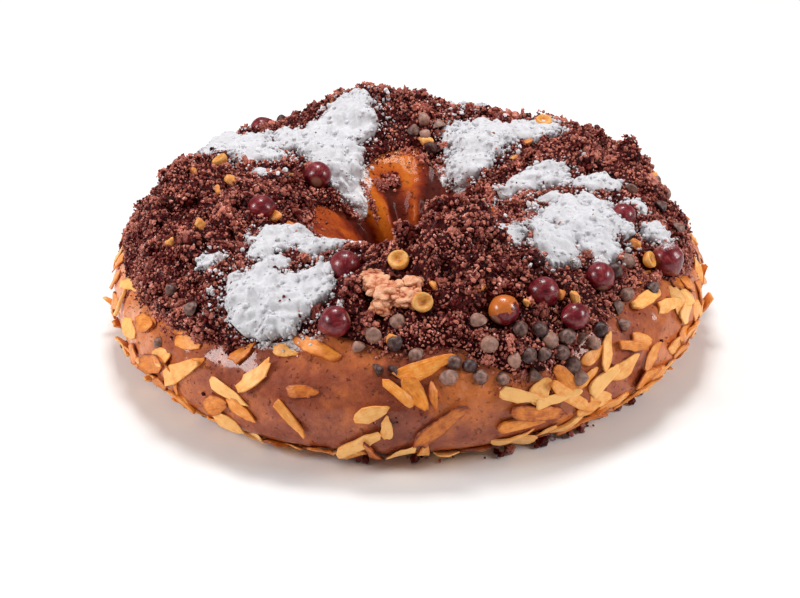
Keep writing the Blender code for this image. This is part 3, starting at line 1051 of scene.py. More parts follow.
@dataclass
class SugarHeaps:
    """Icing sugar sifted on in heaps, with lumps and ragged edges."""

    form: RingForm
    bed: CrumbBed
    lobes: Table = (
        (-31, 62, 0.023, 0.015, 0.0065, -8),
        (-24, 75, 0.012, 0.010, 0.0050, 0),
        (-49, 97, 0.013, 0.011, 0.0045, 0),
        (-35, 103, 0.013, 0.010, 0.0045, 0),
        (-156, 93, 0.018, 0.012, 0.0065, 0),
        (-143, 109, 0.014, 0.018, 0.0065, 0),
        (-138, 128, 0.007, 0.014, 0.0035, 0),
        (-126, 70, 0.019, 0.020, 0.0055, 0),
        (-137, 86, 0.013, 0.009, 0.0045, 0),
        (148, 98, 0.019, 0.016, 0.0065, 0),
        (139, 76, 0.013, 0.013, 0.0045, 0),
        (104, 104, 0.010, 0.015, 0.0045, 0),
        (71, 84, 0.021, 0.016, 0.0065, 0),
        (52, 88, 0.014, 0.010, 0.0050, 0),
        (60, 72, 0.013, 0.009, 0.0055, 0),
        (75, 54, 0.008, 0.007, 0.0045, 0),
        (96, 80, 0.008, 0.008, 0.0040, 0),
        (143, 118, 0.012, 0.010, 0.0045, 0),
        (45, 79, 0.011, 0.009, 0.0045, 0),
        (36, 93, 0.010, 0.007, 0.0035, 0),
        (166, 47, 0.018, 0.011, 0.0045, 10),
    )
    islands: Table = (
        (-53, 66, 0.0055, 0.0045, 0.0022, 0),
        (-46, 84, 0.0060, 0.0050, 0.0022, 0),
        (-38, 82, 0.0060, 0.0045, 0.0022, 20),
        (86, 64, 0.0055, 0.0050, 0.0030, 0),
        (84, 100, 0.0050, 0.0060, 0.0022, 0),
        (-112, 96, 0.0060, 0.0060, 0.0022, 0),
    )
    rim: float = 0.0007
    ring_steps: int = 880
    lean_range: tuple[float, float] = (28.0, 166.0)
    lean_steps: int = 186

    def spread(self, turn: Array, lean: Array) -> tuple[Array, Array]:
        """How deep in a heap each place lies, and how high the sugar stands there.

        Each lobe is an ellipse: q = |(x / half round, y / half across)| with its edge made ragged by
        noise, depth in the heap = 1 - q, height = rim + height (1 - q^2)^0.38; the highest wins.

        Args:
            turn: Turns in degrees.
            lean: Leans in degrees.

        Returns:
            The depth in the heap, below 0 outside, and the height over the crumb bed.
        """
        here = self.form.crust(turn, lean)
        ragged = 0.26 * soft_noise(here, 0.0085, 41) + 0.19 * soft_noise(here, 0.0040, 42)
        ragged = ragged + 0.045 * soft_noise(here, 0.0018, 43)
        inside = np.full(here.shape[:-1], -9.0)
        height = np.zeros(here.shape[:-1])
        for middle_turn, middle_lean, half_round, half_across, high, slant in self.lobes + self.islands:
            x, y = self.form.around(turn, lean, (middle_turn, middle_lean))
            cosine, sine = math.cos(math.radians(slant)), math.sin(math.radians(slant))
            x, y = x * cosine + y * sine, y * cosine - x * sine
            far = np.hypot(x / half_round, y / half_across)
            small = min(half_round, half_across)
            q = far + ragged * min(1.0, 0.010 / small + 0.15)
            inside = np.maximum(inside, 1.0 - q)
            dome = self.rim + high * np.clip(1.0 - q * np.abs(q), 0.0, 1.0) ** 0.38
            height = np.maximum(height, np.where(q < 1.0, dome, 0.0))
        return inside, height

    def dust(self, turn: Array, lean: Array) -> Array:
        """How much loose sugar lies at each place, most beside the heaps."""
        inside, _ = self.spread(turn, lean)
        here = self.form.crust(turn, lean)
        patches = 0.5 + 0.5 * clouds(here, 0.010, 3, 47)
        return np.clip(ease(inside, -0.75, 0.05) * (0.45 + 0.8 * patches), 0.0, 1.0)

    def top(self, turn: Array, lean: Array, height: Array) -> Array:
        """The powder's surface above the crust: bed + heap + soft lumps, each the size of |noise|."""
        here = self.form.crust(turn, lean)
        lumps = sum(
            high * (np.hypot(soft_noise(here + 0.3 * size * k, size, 51 + k), 0.12) - 0.36)
            for k, (size, high) in enumerate(((0.0078, 0.0038), (0.0044, 0.0024), (0.0024, 0.0007)))
        )
        full = ease(height, 0.0006, 0.0040)
        return self.bed.height(turn, lean) + height + lumps * (0.35 + 0.65 * full)

    def sheet(self) -> Shape:
        """The heaps as closed patches: a top and a bottom sheet on the grid's cells that hold sugar, joined by walls.

        Returns:
            The shape, one closed form for each heap.
        """
        turns = np.linspace(-180.0, 180.0, self.ring_steps, endpoint=False)
        leans = np.linspace(*self.lean_range, self.lean_steps)
        lean, turn = np.meshgrid(leans, turns, indexing="ij")
        inside, height = self.spread(turn, lean)
        held = inside > 0.02
        cells = held[:-1] & held[1:]
        cells = cells & np.roll(cells, -1, axis=1)
        used = np.zeros_like(held)
        used[:-1] |= cells
        used[1:] |= cells
        used |= np.roll(used, 1, axis=1)
        t, v, h = turn[used], lean[used], height[used]
        upper = self.form.above(t, v, self.top(t, v, h))
        lower = self.form.above(t, v, np.maximum(self.bed.height(t, v) - 0.0022, -0.0010))
        number = np.full(held.size, -1)
        number[used.ravel()] = np.arange(int(used.sum()))
        quads = grid_faces(*held.shape)[cells.ravel()]
        quads = number[quads]
        count = len(upper)
        walls = self.walls(quads, count)
        points = np.concatenate([upper, lower])
        return Shape(points, [quads, quads[:, ::-1] + count, walls]).outward()

    @staticmethod
    def walls(quads: Array, count: int) -> Array:
        """Faces that join the two sheets along the edges that only one cell has."""
        starts = quads.ravel()
        ends = np.roll(quads, -1, axis=1).ravel()
        big = np.int64(count + 1)
        alone = ~np.isin(starts * big + ends, ends * big + starts)
        a, b = starts[alone], ends[alone]
        return np.stack([b, a, a + count, b + count], axis=-1)

    def lumps(self, count: int = 2200) -> Shape:
        """Loose lumps of sugar on the heaps and beside them: small balls with uneven corners."""
        rng = np.random.default_rng(7)
        turn = rng.uniform(-180.0, 180.0, count * 12)
        lean = rng.uniform(self.lean_range[0], 160.0, count * 12)
        inside, height = self.spread(turn, lean)
        wide = self.form.tube_radius + self.form.tube_half_width * np.cos(np.radians(lean))
        chance = ease(inside, -0.62, 0.02) ** 2.2 * (1.0 - 0.75 * ease(inside, 0.05, 0.5))
        keep = rng.uniform(size=len(turn)) < chance * wide / self.form.ring_radius
        turn, lean, inside, height = (a[keep][:count] for a in (turn, lean, inside, height))
        size = 0.0003 + 0.0010 * rng.uniform(size=len(turn)) ** 3.0
        size = size * np.where(inside > 0.0, 1.3, 1.0)
        over = np.where(inside > 0.02, self.top(turn, lean, height), self.bed.height(turn, lean) + 0.0016)
        template = ball(0)
        points = template.points[None] * size[:, None, None]
        points = points * rng.uniform(0.7, 1.2, size=points.shape[:2])[..., None]
        middle = self.form.above(turn, lean, over + 0.25 * size)
        return strewn(template, points, any_axes(len(turn), rng), middle)

    def build(self, bench: Bench) -> None:
        """Makes the heaps and the lumps and dresses them."""
        look = SugarFinish().make()
        bench.piece("sugar_heaps", self.sheet(), look, stands_for=nodes_named("sugar_heap"))
        bench.piece("sugar_lumps", self.lumps(), look)


@dataclass
class Nuts:
    """Whole roasted hazelnuts set in the crumb."""

    form: RingForm
    sugar: SugarHeaps
    length: float = 0.0145
    roundness: float = 0.93
    point: float = 0.20
    flayed: tuple[str, ...] = ("hazelnut_05",)
    capped: tuple[str, ...] = ("hazelnut_09",)
    dusted: tuple[str, ...] = ("hazelnut_09",)

    def places(self) -> tuple[list[str], Array, Array]:
        """The nuts' names, middles and half sizes, from the boxes of their solids."""
        names = list(nodes_named("hazelnut"))
        boxes = np.array([[list(corner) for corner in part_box(name)] for name in names])
        half = (boxes[:, 1] - boxes[:, 0]).max(axis=1) / 2
        return names, boxes.mean(axis=1), half

    @cached_property
    def room(self) -> "KeepOut":
        """The balls that the nuts take up."""
        _, middle, half = self.places()
        return KeepOut(middle, half)

    def build(self, bench: Bench) -> None:
        """Makes the nuts: length along x, width r = half roundness (1 - point z^2), a tip and a flat base."""
        names, middle, half = self.places()
        rng = np.random.default_rng(3)
        template = pillow(30, 44)
        polar, angle = template.marks["polar"], template.marks["angle"]
        count = len(names)
        lift = unit(middle * [1.0, 1.0, 0.0]) * 0.02
        up = unit(middle - lift * 3.2)
        axes = axes_on(up, rng.uniform(0, 2 * np.pi, count), rng.uniform(-0.7, 0.7, count))
        height = np.cos(polar)[None]
        narrow = 1.0 - self.point * np.clip(height, 0.0, 1.0) ** 2
        tip = 0.07 * np.exp(-((polar / 0.30) ** 2))[None]
        base = -0.10 * np.exp(-(((np.pi - polar) / 0.55) ** 4))[None]
        spots = np.stack([np.sin(polar) * np.cos(angle), np.sin(polar) * np.sin(angle), np.cos(polar)], -1)
        lumpy = np.stack([1.0 + 0.035 * soft_noise(spots + 7.3 * k, 0.8, 61) for k in range(count)])
        ribs = 1.0 + 0.006 * np.sin(9 * angle + 2.0 * np.sin(3 * polar))[None] * np.sin(polar)[None]
        capped = np.array([name in self.capped for name in names])[:, None]
        cap = np.where(capped & (height > 0.10), 0.035, 0.0)
        reach = half[:, None] * lumpy
        wide = reach * self.roundness * narrow * ribs * (1.0 + cap) * np.sin(polar)[None]
        x = reach * (height + tip - np.where(height < 0, 0.9 * base, 0.0))
        points = np.stack([x, wide * np.cos(angle)[None], wide * np.sin(angle)[None]], axis=-1)
        shape = strewn(template, points, axes, middle)
        shape.marks["own"] = (points + np.arange(count)[:, None, None] * 0.05).reshape(-1, 3)
        shape.marks["scar"] = np.broadcast_to(ease(-height, 0.90, 0.95), wide.shape).ravel()
        turned = np.einsum("nkj,nji->nki", points, axes) / half[:, None, None]
        powdered = np.array([0.62 if name in self.dusted else 0.46 for name in names])[:, None]
        shape.marks["dust"] = (powdered * ease(turned[..., 2], 0.35, 1.0)).ravel()
        bare = np.array([1.0 if name in self.flayed else 0.0 for name in names])[:, None]
        shape.marks["bare"] = (bare * ease(turned[..., 2] - 0.5 * turned[..., 0], -0.5, 0.9) * 0.8).ravel()
        look = NutFinish().make()
        bench.piece("hazelnuts", shape.outward(), look, stands_for=tuple(names))


@dataclass
class KeepOut:
    """Balls that the crumb keeps clear of."""

    middle: Array
    reach: Array

    def gap(self, points: Array) -> Array:
        """Metres from each point to the skin of the nearest ball, below 0 inside it."""
        least = np.full(points.shape[:-1], 1.0)
        for middle, reach in zip(self.middle, self.reach):
            least = np.minimum(least, np.linalg.norm(points - middle, axis=-1) - reach)
        return least

    def joined(self, other: "KeepOut") -> "KeepOut":
        """These balls and others as one set."""
        return KeepOut(np.concatenate([self.middle, other.middle]), np.concatenate([self.reach, other.reach]))


@dataclass
class CrumbTop:
    """The crumb's clumped surface: knobs and hollows over the bed."""

    form: RingForm
    bed: CrumbBed
    sugar: SugarHeaps
    firm: KeepOut
    sunk: float = 0.0024
    clumps: Table = (
        (-96, 62, 0.0075, 0.0070, 0.0040),
        (-88, 72, 0.0080, 0.0065, 0.0030),
        (-84, 56, 0.0060, 0.0060, 0.0020),
        (-108, 58, 0.0070, 0.0060, 0.0025),
        (-70, 84, 0.0070, 0.0060, 0.0035),
        (-64, 62, 0.0060, 0.0060, 0.0030),
        (10, 86, 0.0070, 0.0065, 0.0035),
        (21, 96, 0.0080, 0.0060, 0.0040),
        (27, 80, 0.0065, 0.0060, 0.0035),
        (14, 70, 0.0060, 0.0060, 0.0030),
        (43, 88, 0.0060, 0.0060, 0.0030),
        (100, 50, 0.0065, 0.0060, 0.0040),
        (110, 60, 0.0060, 0.0060, 0.0030),
        (92, 44, 0.0055, 0.0055, 0.0030),
        (122, 54, 0.0065, 0.0060, 0.0020),
        (-172, 84, 0.0075, 0.0060, 0.0020),
        (-164, 76, 0.0060, 0.0060, 0.0020),
        (176, 84, 0.0070, 0.0060, 0.0015),
        (166, 84, 0.0060, 0.0060, 0.0020),
        (158, 66, 0.0060, 0.0060, 0.0010),
    )

    def relief(self, turn: Array, lean: Array) -> Array:
        """Clumps of the bed: packed domes of 12.5, 6 and 3 mm and clumps exp(-far^4), calmer by nuts and sugar.

        Args:
            turn: Turns in degrees.
            lean: Leans in degrees.

        Returns:
            Metres above or below the bed.
        """
        here = self.form.above(turn, lean, self.bed.height(turn, lean))
        warped = here + 0.0030 * np.stack([soft_noise(here, 0.007, 70 + k) for k in range(3)], axis=-1)
        big, strength = domes(warped, 0.0125, 73)
        middle, own = domes(warped, 0.0060, 77)
        small, _ = domes(here, 0.0030, 81)
        knobs = 0.0128 * (big - 0.68) * (0.35 + 1.1 * strength) + 0.0062 * (middle - 0.60) * (0.5 + own)
        knobs = knobs + 0.0018 * (small - 0.5)
        for middle_turn, middle_lean, half_round, half_across, high in self.clumps:
            x, y = self.form.around(turn, lean, (middle_turn, middle_lean))
            knobs = knobs + high * np.exp(-(((x / half_round) ** 2 + (y / half_across) ** 2) ** 2))
        inside, _ = self.sugar.spread(turn, lean)
        calm = (0.25 + 0.75 * ease(self.firm.gap(here), -0.001, 0.004)) * (1.0 - 0.75 * ease(inside, -0.05, 0.15))
        return knobs * calm

    def share(self, turn: Array, lean: Array) -> Array:
        """How far across the bed a place lies, 0 at the outer edge and 1 at the inner."""
        outer, inner = self.bed.edges(turn)
        return (lean - outer) / (inner - outer)

    def height(self, turn: Array, lean: Array) -> Array:
        """Height of the crumb above the crust, clumps included, and nothing past its edges."""
        share = np.clip(self.share(turn, lean), 0.0, 1.0)
        taper = np.sin(np.pi * share) ** 0.5
        return np.maximum(self.bed.height(turn, lean) + (self.relief(turn, lean) - self.sunk) * taper, 0.0)


@dataclass
class Crumb:
    """Crumbled chocolate cake: a bed painted dark as the shade between pieces, under knobs, lumps, grains and fines.
    """

    form: RingForm
    top: CrumbTop
    sugar: SugarHeaps
    pieces: KeepOut
    crust: "Crust"
    strays: Table = (
        (-162, 134, 0.0070, 0.0035),
        (-172, 133, 0.0050, 0.0030),
        (-148, 146, 0.0040, 0.0070),
        (156, 122, 0.0060, 0.0030),
        (146, 128, 0.0040, 0.0050),
        (-147, 132, 0.0030, 0.0040),
        (-128, 140, 0.0060, 0.0050),
    )
    ring_steps: int = 760
    bed_steps: int = 112

    def core(self) -> Shape:
        """The bed as a closed tube: its upper half is the crumb's surface, its lower half lies in the bread."""
        turns = np.linspace(-180.0, 180.0, self.ring_steps, endpoint=False)
        over = np.linspace(0.0, 1.0, self.bed_steps)
        under = np.linspace(1.0, 0.0, 12)[1:-1]
        share, turn = np.meshgrid(np.concatenate([over, under]), turns, indexing="ij")
        outer, inner = self.top.bed.edges(turn)
        rough = self.form.crust(turn, outer + (inner - outer) * share)
        wander = 3.2 * clouds(rough, 0.012, 3, 85) * (1.0 - 2.0 * share) ** 3
        lean = outer + (inner - outer) * share + wander
        upper = np.arange(len(share))[:, None] < self.bed_steps
        rounded = np.sin(np.pi * share) ** self.top.bed.edge_round
        height = np.where(upper, self.top.height(turn, lean) - 0.0005 - 0.0008 * (1.0 - rounded), -0.0030 * rounded)
        points = self.form.above(turn, lean, height).reshape(-1, 3)
        shape = Shape(points, [grid_faces(*share.shape, tube=True)])
        # The bed is painted dark as the shade in the gaps between grains, darkest in its hollows.
        hollow = ease((height - self.top.bed.height(turn, lean)).ravel(), -0.0050, 0.0002)
        shape.marks["tone"] = 0.24 * hollow + 0.10 * clouds(points, 0.012, 3, 88)
        shape.marks["dust"] = (0.5 * self.sugar.dust(turn, lean) * upper).ravel()
        return shape.outward()

    def scatter(self, count: int, rng: np.random.Generator, past: float) -> tuple[Array, Array]:
        """Even random places on the bed and a little past its edges.

        Args:
            count: How many places.
            rng: The source of chance.
            past: How far past the edges places go, as a share of the width.

        Returns:
            Turns and leans in degrees.
        """
        turn = rng.uniform(-180.0, 180.0, count * 3)
        share = rng.uniform(-past, 1.0 + past, count * 3)
        outer, inner = self.top.bed.edges(turn)
        lean = outer + (inner - outer) * share
        wide = self.form.tube_radius + self.form.tube_half_width * np.cos(np.radians(lean))
        beyond = np.maximum(-share, share - 1.0) / past
        chance = wide / self.form.ring_radius * (1.0 - np.clip(beyond, 0.0, 1.0)) ** 1.5
        keep = rng.uniform(size=len(turn)) < chance * (inner - outer) / 93.0
        return turn[keep][:count], lean[keep][:count]

    def heaped(self, each: int, rng: np.random.Generator) -> tuple[Array, Array]:
        """Random places about the bed's clumps and its tallest heap, more where the crumb is piled up.

        Args:
            each: How many places a clump gets.
            rng: The source of chance.

        Returns:
            Turns and leans in degrees.
        """
        rows = np.array(self.top.clumps + ((17, 93, 0.016, 0.013, 0.0),) * 6, float)
        middle = np.repeat(rows, each, axis=0)
        spread = rng.normal(0.0, 0.9, (len(middle), 2)) * middle[:, 2:4]
        turn = middle[:, 0] + np.degrees(spread[:, 0] / self.form.tube_radius)
        return turn, middle[:, 1] + spread[:, 1] / self.form.lean_metre

    def paved(self, count: int, rng: np.random.Generator) -> tuple[Array, Array]:
        """Places that cover the bed without gaps.

        Place number n lies at the turn n times the golden angle, and at the lean that leaves the
        share n / count of the band's area inside it; each is then moved a little by chance.

        Args:
            count: How many places the whole band gets.
            rng: The source of chance.

        Returns:
            Turns and leans in degrees of the places on the bed.
        """
        leans = np.linspace(5.0, 150.0, 400)
        wide = self.form.tube_radius + self.form.tube_half_width * np.cos(np.radians(leans))
        area = np.cumsum(wide) / wide.sum()
        number = np.arange(count)
        lean = np.interp((number + 0.5) / count, area, leans) + rng.normal(0.0, 0.45, count)
        turn = (number * 180.0 * (3.0 - math.sqrt(5.0)) + rng.normal(0.0, 0.25, count) + 180.0) % 360.0 - 180.0
        share = self.top.share(turn, lean)
        keep = (share > -0.02 - 0.03 * rng.uniform(size=count)) & (share < 1.02)
        return turn[keep], lean[keep]

    def strayed(self, each: int, rng: np.random.Generator) -> tuple[Array, Array]:
        """Places of the crumbs that fell on the folds of the hole.

        Args:
            each: How many places each patch gets.
            rng: The source of chance.

        Returns:
            Turns and leans in degrees.
        """
        rows = np.repeat(np.array(self.strays, float), each, axis=0)
        spread = rng.normal(0.0, 0.6, (len(rows), 2)) * rows[:, 2:4]
        turn = rows[:, 0] + np.degrees(spread[:, 0] / self.form.tube_radius)
        return turn, rows[:, 1] + spread[:, 1] / self.form.lean_metre

    def surface(self, turn: Array, lean: Array) -> Array:
        """Height over the plain crust of what a grain lands on: crumb, or the crust's folds past its inner edge."""
        return np.maximum(self.top.height(turn, lean),
                          np.where(self.top.share(turn, lean) > 1.0, self.crust.relief(turn, lean), -1.0))

    def loose(self, template: Shape, turn: Array, lean: Array, size: Array, sink: float, rough: float,
              rng: np.random.Generator) -> Shape:
        """Irregular lumps lying on the crumb, clear of the nuts, drops and bits, and a few in the sugar.

        Args:
            template: A ball or a cluster at a radius of 1.
            turn: Turns of the places.
            lean: Leans of the places.
            size: Radii.
            sink: How deep they sit, as a share of their radius.
            rough: How far corners are pushed, as a share of the radius.
            rng: The source of chance.

        Returns:
            The joined shape with its tone and dust.
        """
        inside, height = self.sugar.spread(turn, lean)
        over = np.where(inside > 0.02, self.sugar.top(turn, lean, height), self.surface(turn, lean))
        middle = self.form.above(turn, lean, over - sink * size + 0.0001)
        raised = np.clip(self.top.relief(turn, lean) / 0.0035, -1.6, 1.0)
        # Most grains in hollows are left out, so the bed's painted shade shows there.
        bare = rng.uniform(size=len(turn)) < 0.75 * ease(-raised, 0.25, 1.25)
        sprinkle = 0.16 * ease(-inside, -0.22, 0.0) + 0.004
        free = (self.pieces.gap(middle) > 0.30 * size) & ((inside < 0.03) | (rng.uniform(size=len(turn)) < sprinkle))
        free = free & ~bare
        turn, lean, size, middle, raised = (a[free] for a in (turn, lean, size, middle, raised))
        count, each = len(turn), len(template.points)
        stretch = rng.uniform(0.60, 1.40, size=(count, 1, 3))
        pushed = rng.uniform(1.0 - rough, 1.0 + 0.6 * rough, size=(count, each))
        points = template.points[None] * stretch * pushed[..., None] * size[:, None, None]
        shape = strewn(template, points, any_axes(count, rng), middle)
        # Tone: each grain's own, painted lighter on crests and darker in hollows as light and shade, and darker at
        # the left and at the back.
        raised = raised - 0.35 * ease(np.abs(turn + 90.0), 45.0, 15.0) - 0.3 * ease(np.abs(turn), 120.0, 165.0)
        shape.marks["tone"] = np.repeat(np.clip(self.toned(middle, rng) + 0.26 * raised, 0.0, 1.2), each)
        shape.marks["dust"] = np.repeat(self.powdered(turn, lean, rng), each)
        return shape

    def toned(self, middle: Array, rng: np.random.Generator) -> Array:
        """Each grain's own tone: mostly mid, a few pale as painted highlights, with darker and lighter regions."""
        chance = rng.uniform(size=len(middle))
        tone = 0.44 + 0.15 * rng.normal(size=len(middle)) + 0.45 * chance**8
        return np.clip(tone + 0.36 * clouds(middle, 0.009, 2, 91), 0.0, 1.2)

    def powdered(self, turn: Array, lean: Array, rng: np.random.Generator) -> Array:
        """Each grain's own sugar: wholly white with a chance that grows towards the heaps."""
        dust = self.sugar.dust(turn, lean)
        white = rng.uniform(size=len(turn)) < 0.42 * dust**1.4
        return np.where(white, 1.6, 0.25 * dust)

    def knobs(self, count: int, grains: int, rng: np.random.Generator) -> Shape:
        """Clumps of 5 to 11 mm: a ball painted dark as shade under grains spaced over it by the golden angle.

        A grain's direction is jittered, its distance is size (0.84 + 0.22 noise + chance), and its own
        radius is about a quarter of the clump's.

        Args:
            count: How many clumps.
            grains: Grains on each.
            rng: The source of chance.

        Returns:
            The joined shape, with shade painted dark in the gaps.
        """
        turn, lean = self.scatter(count * 9, rng, 0.001)
        near_turn, near_lean = self.heaped(7, rng)
        turn, lean = np.concatenate([near_turn, turn]), np.concatenate([near_lean, lean])
        size = 0.0026 + 0.0030 * rng.uniform(size=len(turn)) ** 1.1
        middle = self.form.above(turn, lean, self.top.height(turn, lean) + 0.04 * size)
        inside, _ = self.sugar.spread(turn, lean)
        share = self.top.share(turn, lean)
        keep = (self.pieces.gap(middle) > 0.75 * size) & (inside < -0.18) & (share > 0.06) & (share < 0.95)
        turn, lean, size, middle = (a[keep] for a in (turn, lean, size, middle))
        keep = spaced(middle, 0.66 * size)
        turn, lean, size, middle = (a[keep][:count] for a in (turn, lean, size, middle))
        count = len(turn)
        stretch = rng.uniform(0.75, 1.30, (count, 1, 3)) * [1.0, 1.0, 0.90]
        number = np.arange(grains)
        level = 1.0 - 1.45 * (number + 0.5) / grains
        angle = number * math.pi * (3.0 - math.sqrt(5.0))
        flat = np.sqrt(1.0 - level**2)
        around = np.stack([flat * np.cos(angle), flat * np.sin(angle), level], axis=-1)
        around = unit(around[None] + rng.normal(0.0, 0.13, (count, grains, 3)))
        own = around * stretch * size[:, None, None] + rng.uniform(-1.0, 1.0, (count, 1, 3))
        far = 0.84 + 0.34 * soft_noise(own, 0.0040, 139) + 0.11 * rng.normal(size=(count, grains))
        spots = around * stretch * (far * size[:, None])[..., None]
        radius = size[:, None] * rng.uniform(0.12, 0.29, (count, grains))
        grain, heart = ball(0), ball(1)
        pushed = rng.uniform(0.60, 1.25, (count, grains, len(grain.points), 1))
        pushed = pushed * rng.uniform(0.65, 1.35, (count, grains, 1, 3))
        skin = spots[:, :, None] + grain.points * pushed * radius[..., None, None]
        inner = heart.points[None] * stretch * (0.72 * size)[:, None, None]
        points = np.concatenate([inner, skin.reshape(count, -1, 3)], axis=1)
        step = len(grain.points)
        rows = grain.faces[0][None] + (len(heart.points) + np.arange(grains) * step)[:, None, None]
        template = Shape(points[0], [np.concatenate([heart.faces[0], rows.reshape(-1, 3)])])
        axes = axes_on(self.form.normal(turn, lean), rng.uniform(0, 6.28, count), rng.normal(0, 0.25, count))
        shape = strewn(template, points, axes, middle)
        # Outer grains and those on the upper half are lighter as painted light; the heart is dark as painted shade
        # between the grains.
        tone = 0.40 + 0.9 * (far - 0.84) + 0.14 * rng.normal(size=far.shape) + 0.18 * (level > 0.0)
        tone = np.concatenate([np.full((count, len(heart.points)), 0.14), np.repeat(tone, step, axis=1)], axis=1)
        dust = np.repeat(self.powdered(turn.repeat(grains), lean.repeat(grains), rng), step).reshape(count, -1)
        dust = np.concatenate([np.zeros((count, len(heart.points))), dust], axis=1)
        shape.marks["tone"] = np.clip(tone, 0.0, 1.2).ravel()
        shape.marks["dust"] = dust.ravel()
        return shape

    @staticmethod
    def cluster(count: int) -> Shape:
        """A crumb made of smaller grains: balls spaced evenly over a sphere by the golden angle.

        Args:
            count: How many balls.

        Returns:
            The cluster at a radius of about 1.
        """
        number = np.arange(count)
        height = 1.0 - (2.0 * number + 1.0) / count
        angle = number * math.pi * (3.0 - math.sqrt(5.0))
        flat = np.sqrt(1.0 - height**2)
        middle = np.stack([flat * np.cos(angle), flat * np.sin(angle), height], axis=-1)
        size = 0.40 + 0.13 * np.sin(2.7 * number)
        middle = middle * (0.68 + 0.20 * np.sin(4.1 * number))[:, None]
        grain = ball(0)
        points = grain.points[None] * size[:, None, None]
        axes = np.broadcast_to(np.eye(3), (count, 3, 3))
        return strewn(grain, points, axes, middle)

    def build(self, bench: Bench) -> None:
        """Makes the bed, the knobs, the lumps, the grains and the fines and dresses them."""
        rng = np.random.default_rng(11)
        core = CrumbFinish("cake_crumb_bed").make()
        grainy = CrumbFinish("cake_crumb_loose", bump=0.0004).make()
        bench.piece("crumb_bed", self.core(), core, stands_for=("crumb_topping",))
        bench.piece("crumb_knobs", self.knobs(190, 46, rng), grainy, smooth=False)
        turn, lean = self.scatter(520, rng, 0.05)
        size = rng.uniform(0.0016, 0.0034, len(turn))
        bench.piece("crumb_lumps", self.loose(self.cluster(14), turn, lean, size, 0.05, 0.30, rng), grainy,
                    smooth=False)
        turn, lean = self.paved(31000, rng)
        near_turn, near_lean = self.heaped(90, rng)
        far_turn, far_lean = self.strayed(110, rng)
        turn, lean = np.concatenate([turn, near_turn, far_turn]), np.concatenate([lean, near_lean, far_lean])
        size = 0.00046 + 0.00058 * rng.uniform(size=len(turn)) ** 1.6
        for name, half in (("crumb_grains_coarse", size > 0.000650), ("crumb_grains_fine", size <= 0.000650)):
            grains = self.loose(ball(0), turn[half], lean[half], size[half], 0.10, 0.48, rng)
            bench.piece(name, grains, grainy, smooth=False)
        turn, lean = self.scatter(11000, rng, 0.16)
        size = 0.00030 + 0.00045 * rng.uniform(size=len(turn)) ** 1.5
        fines = self.loose(octahedron(), turn, lean, size, -0.9, 0.35, rng)
        bench.piece("crumb_fines", fines, grainy, smooth=False)


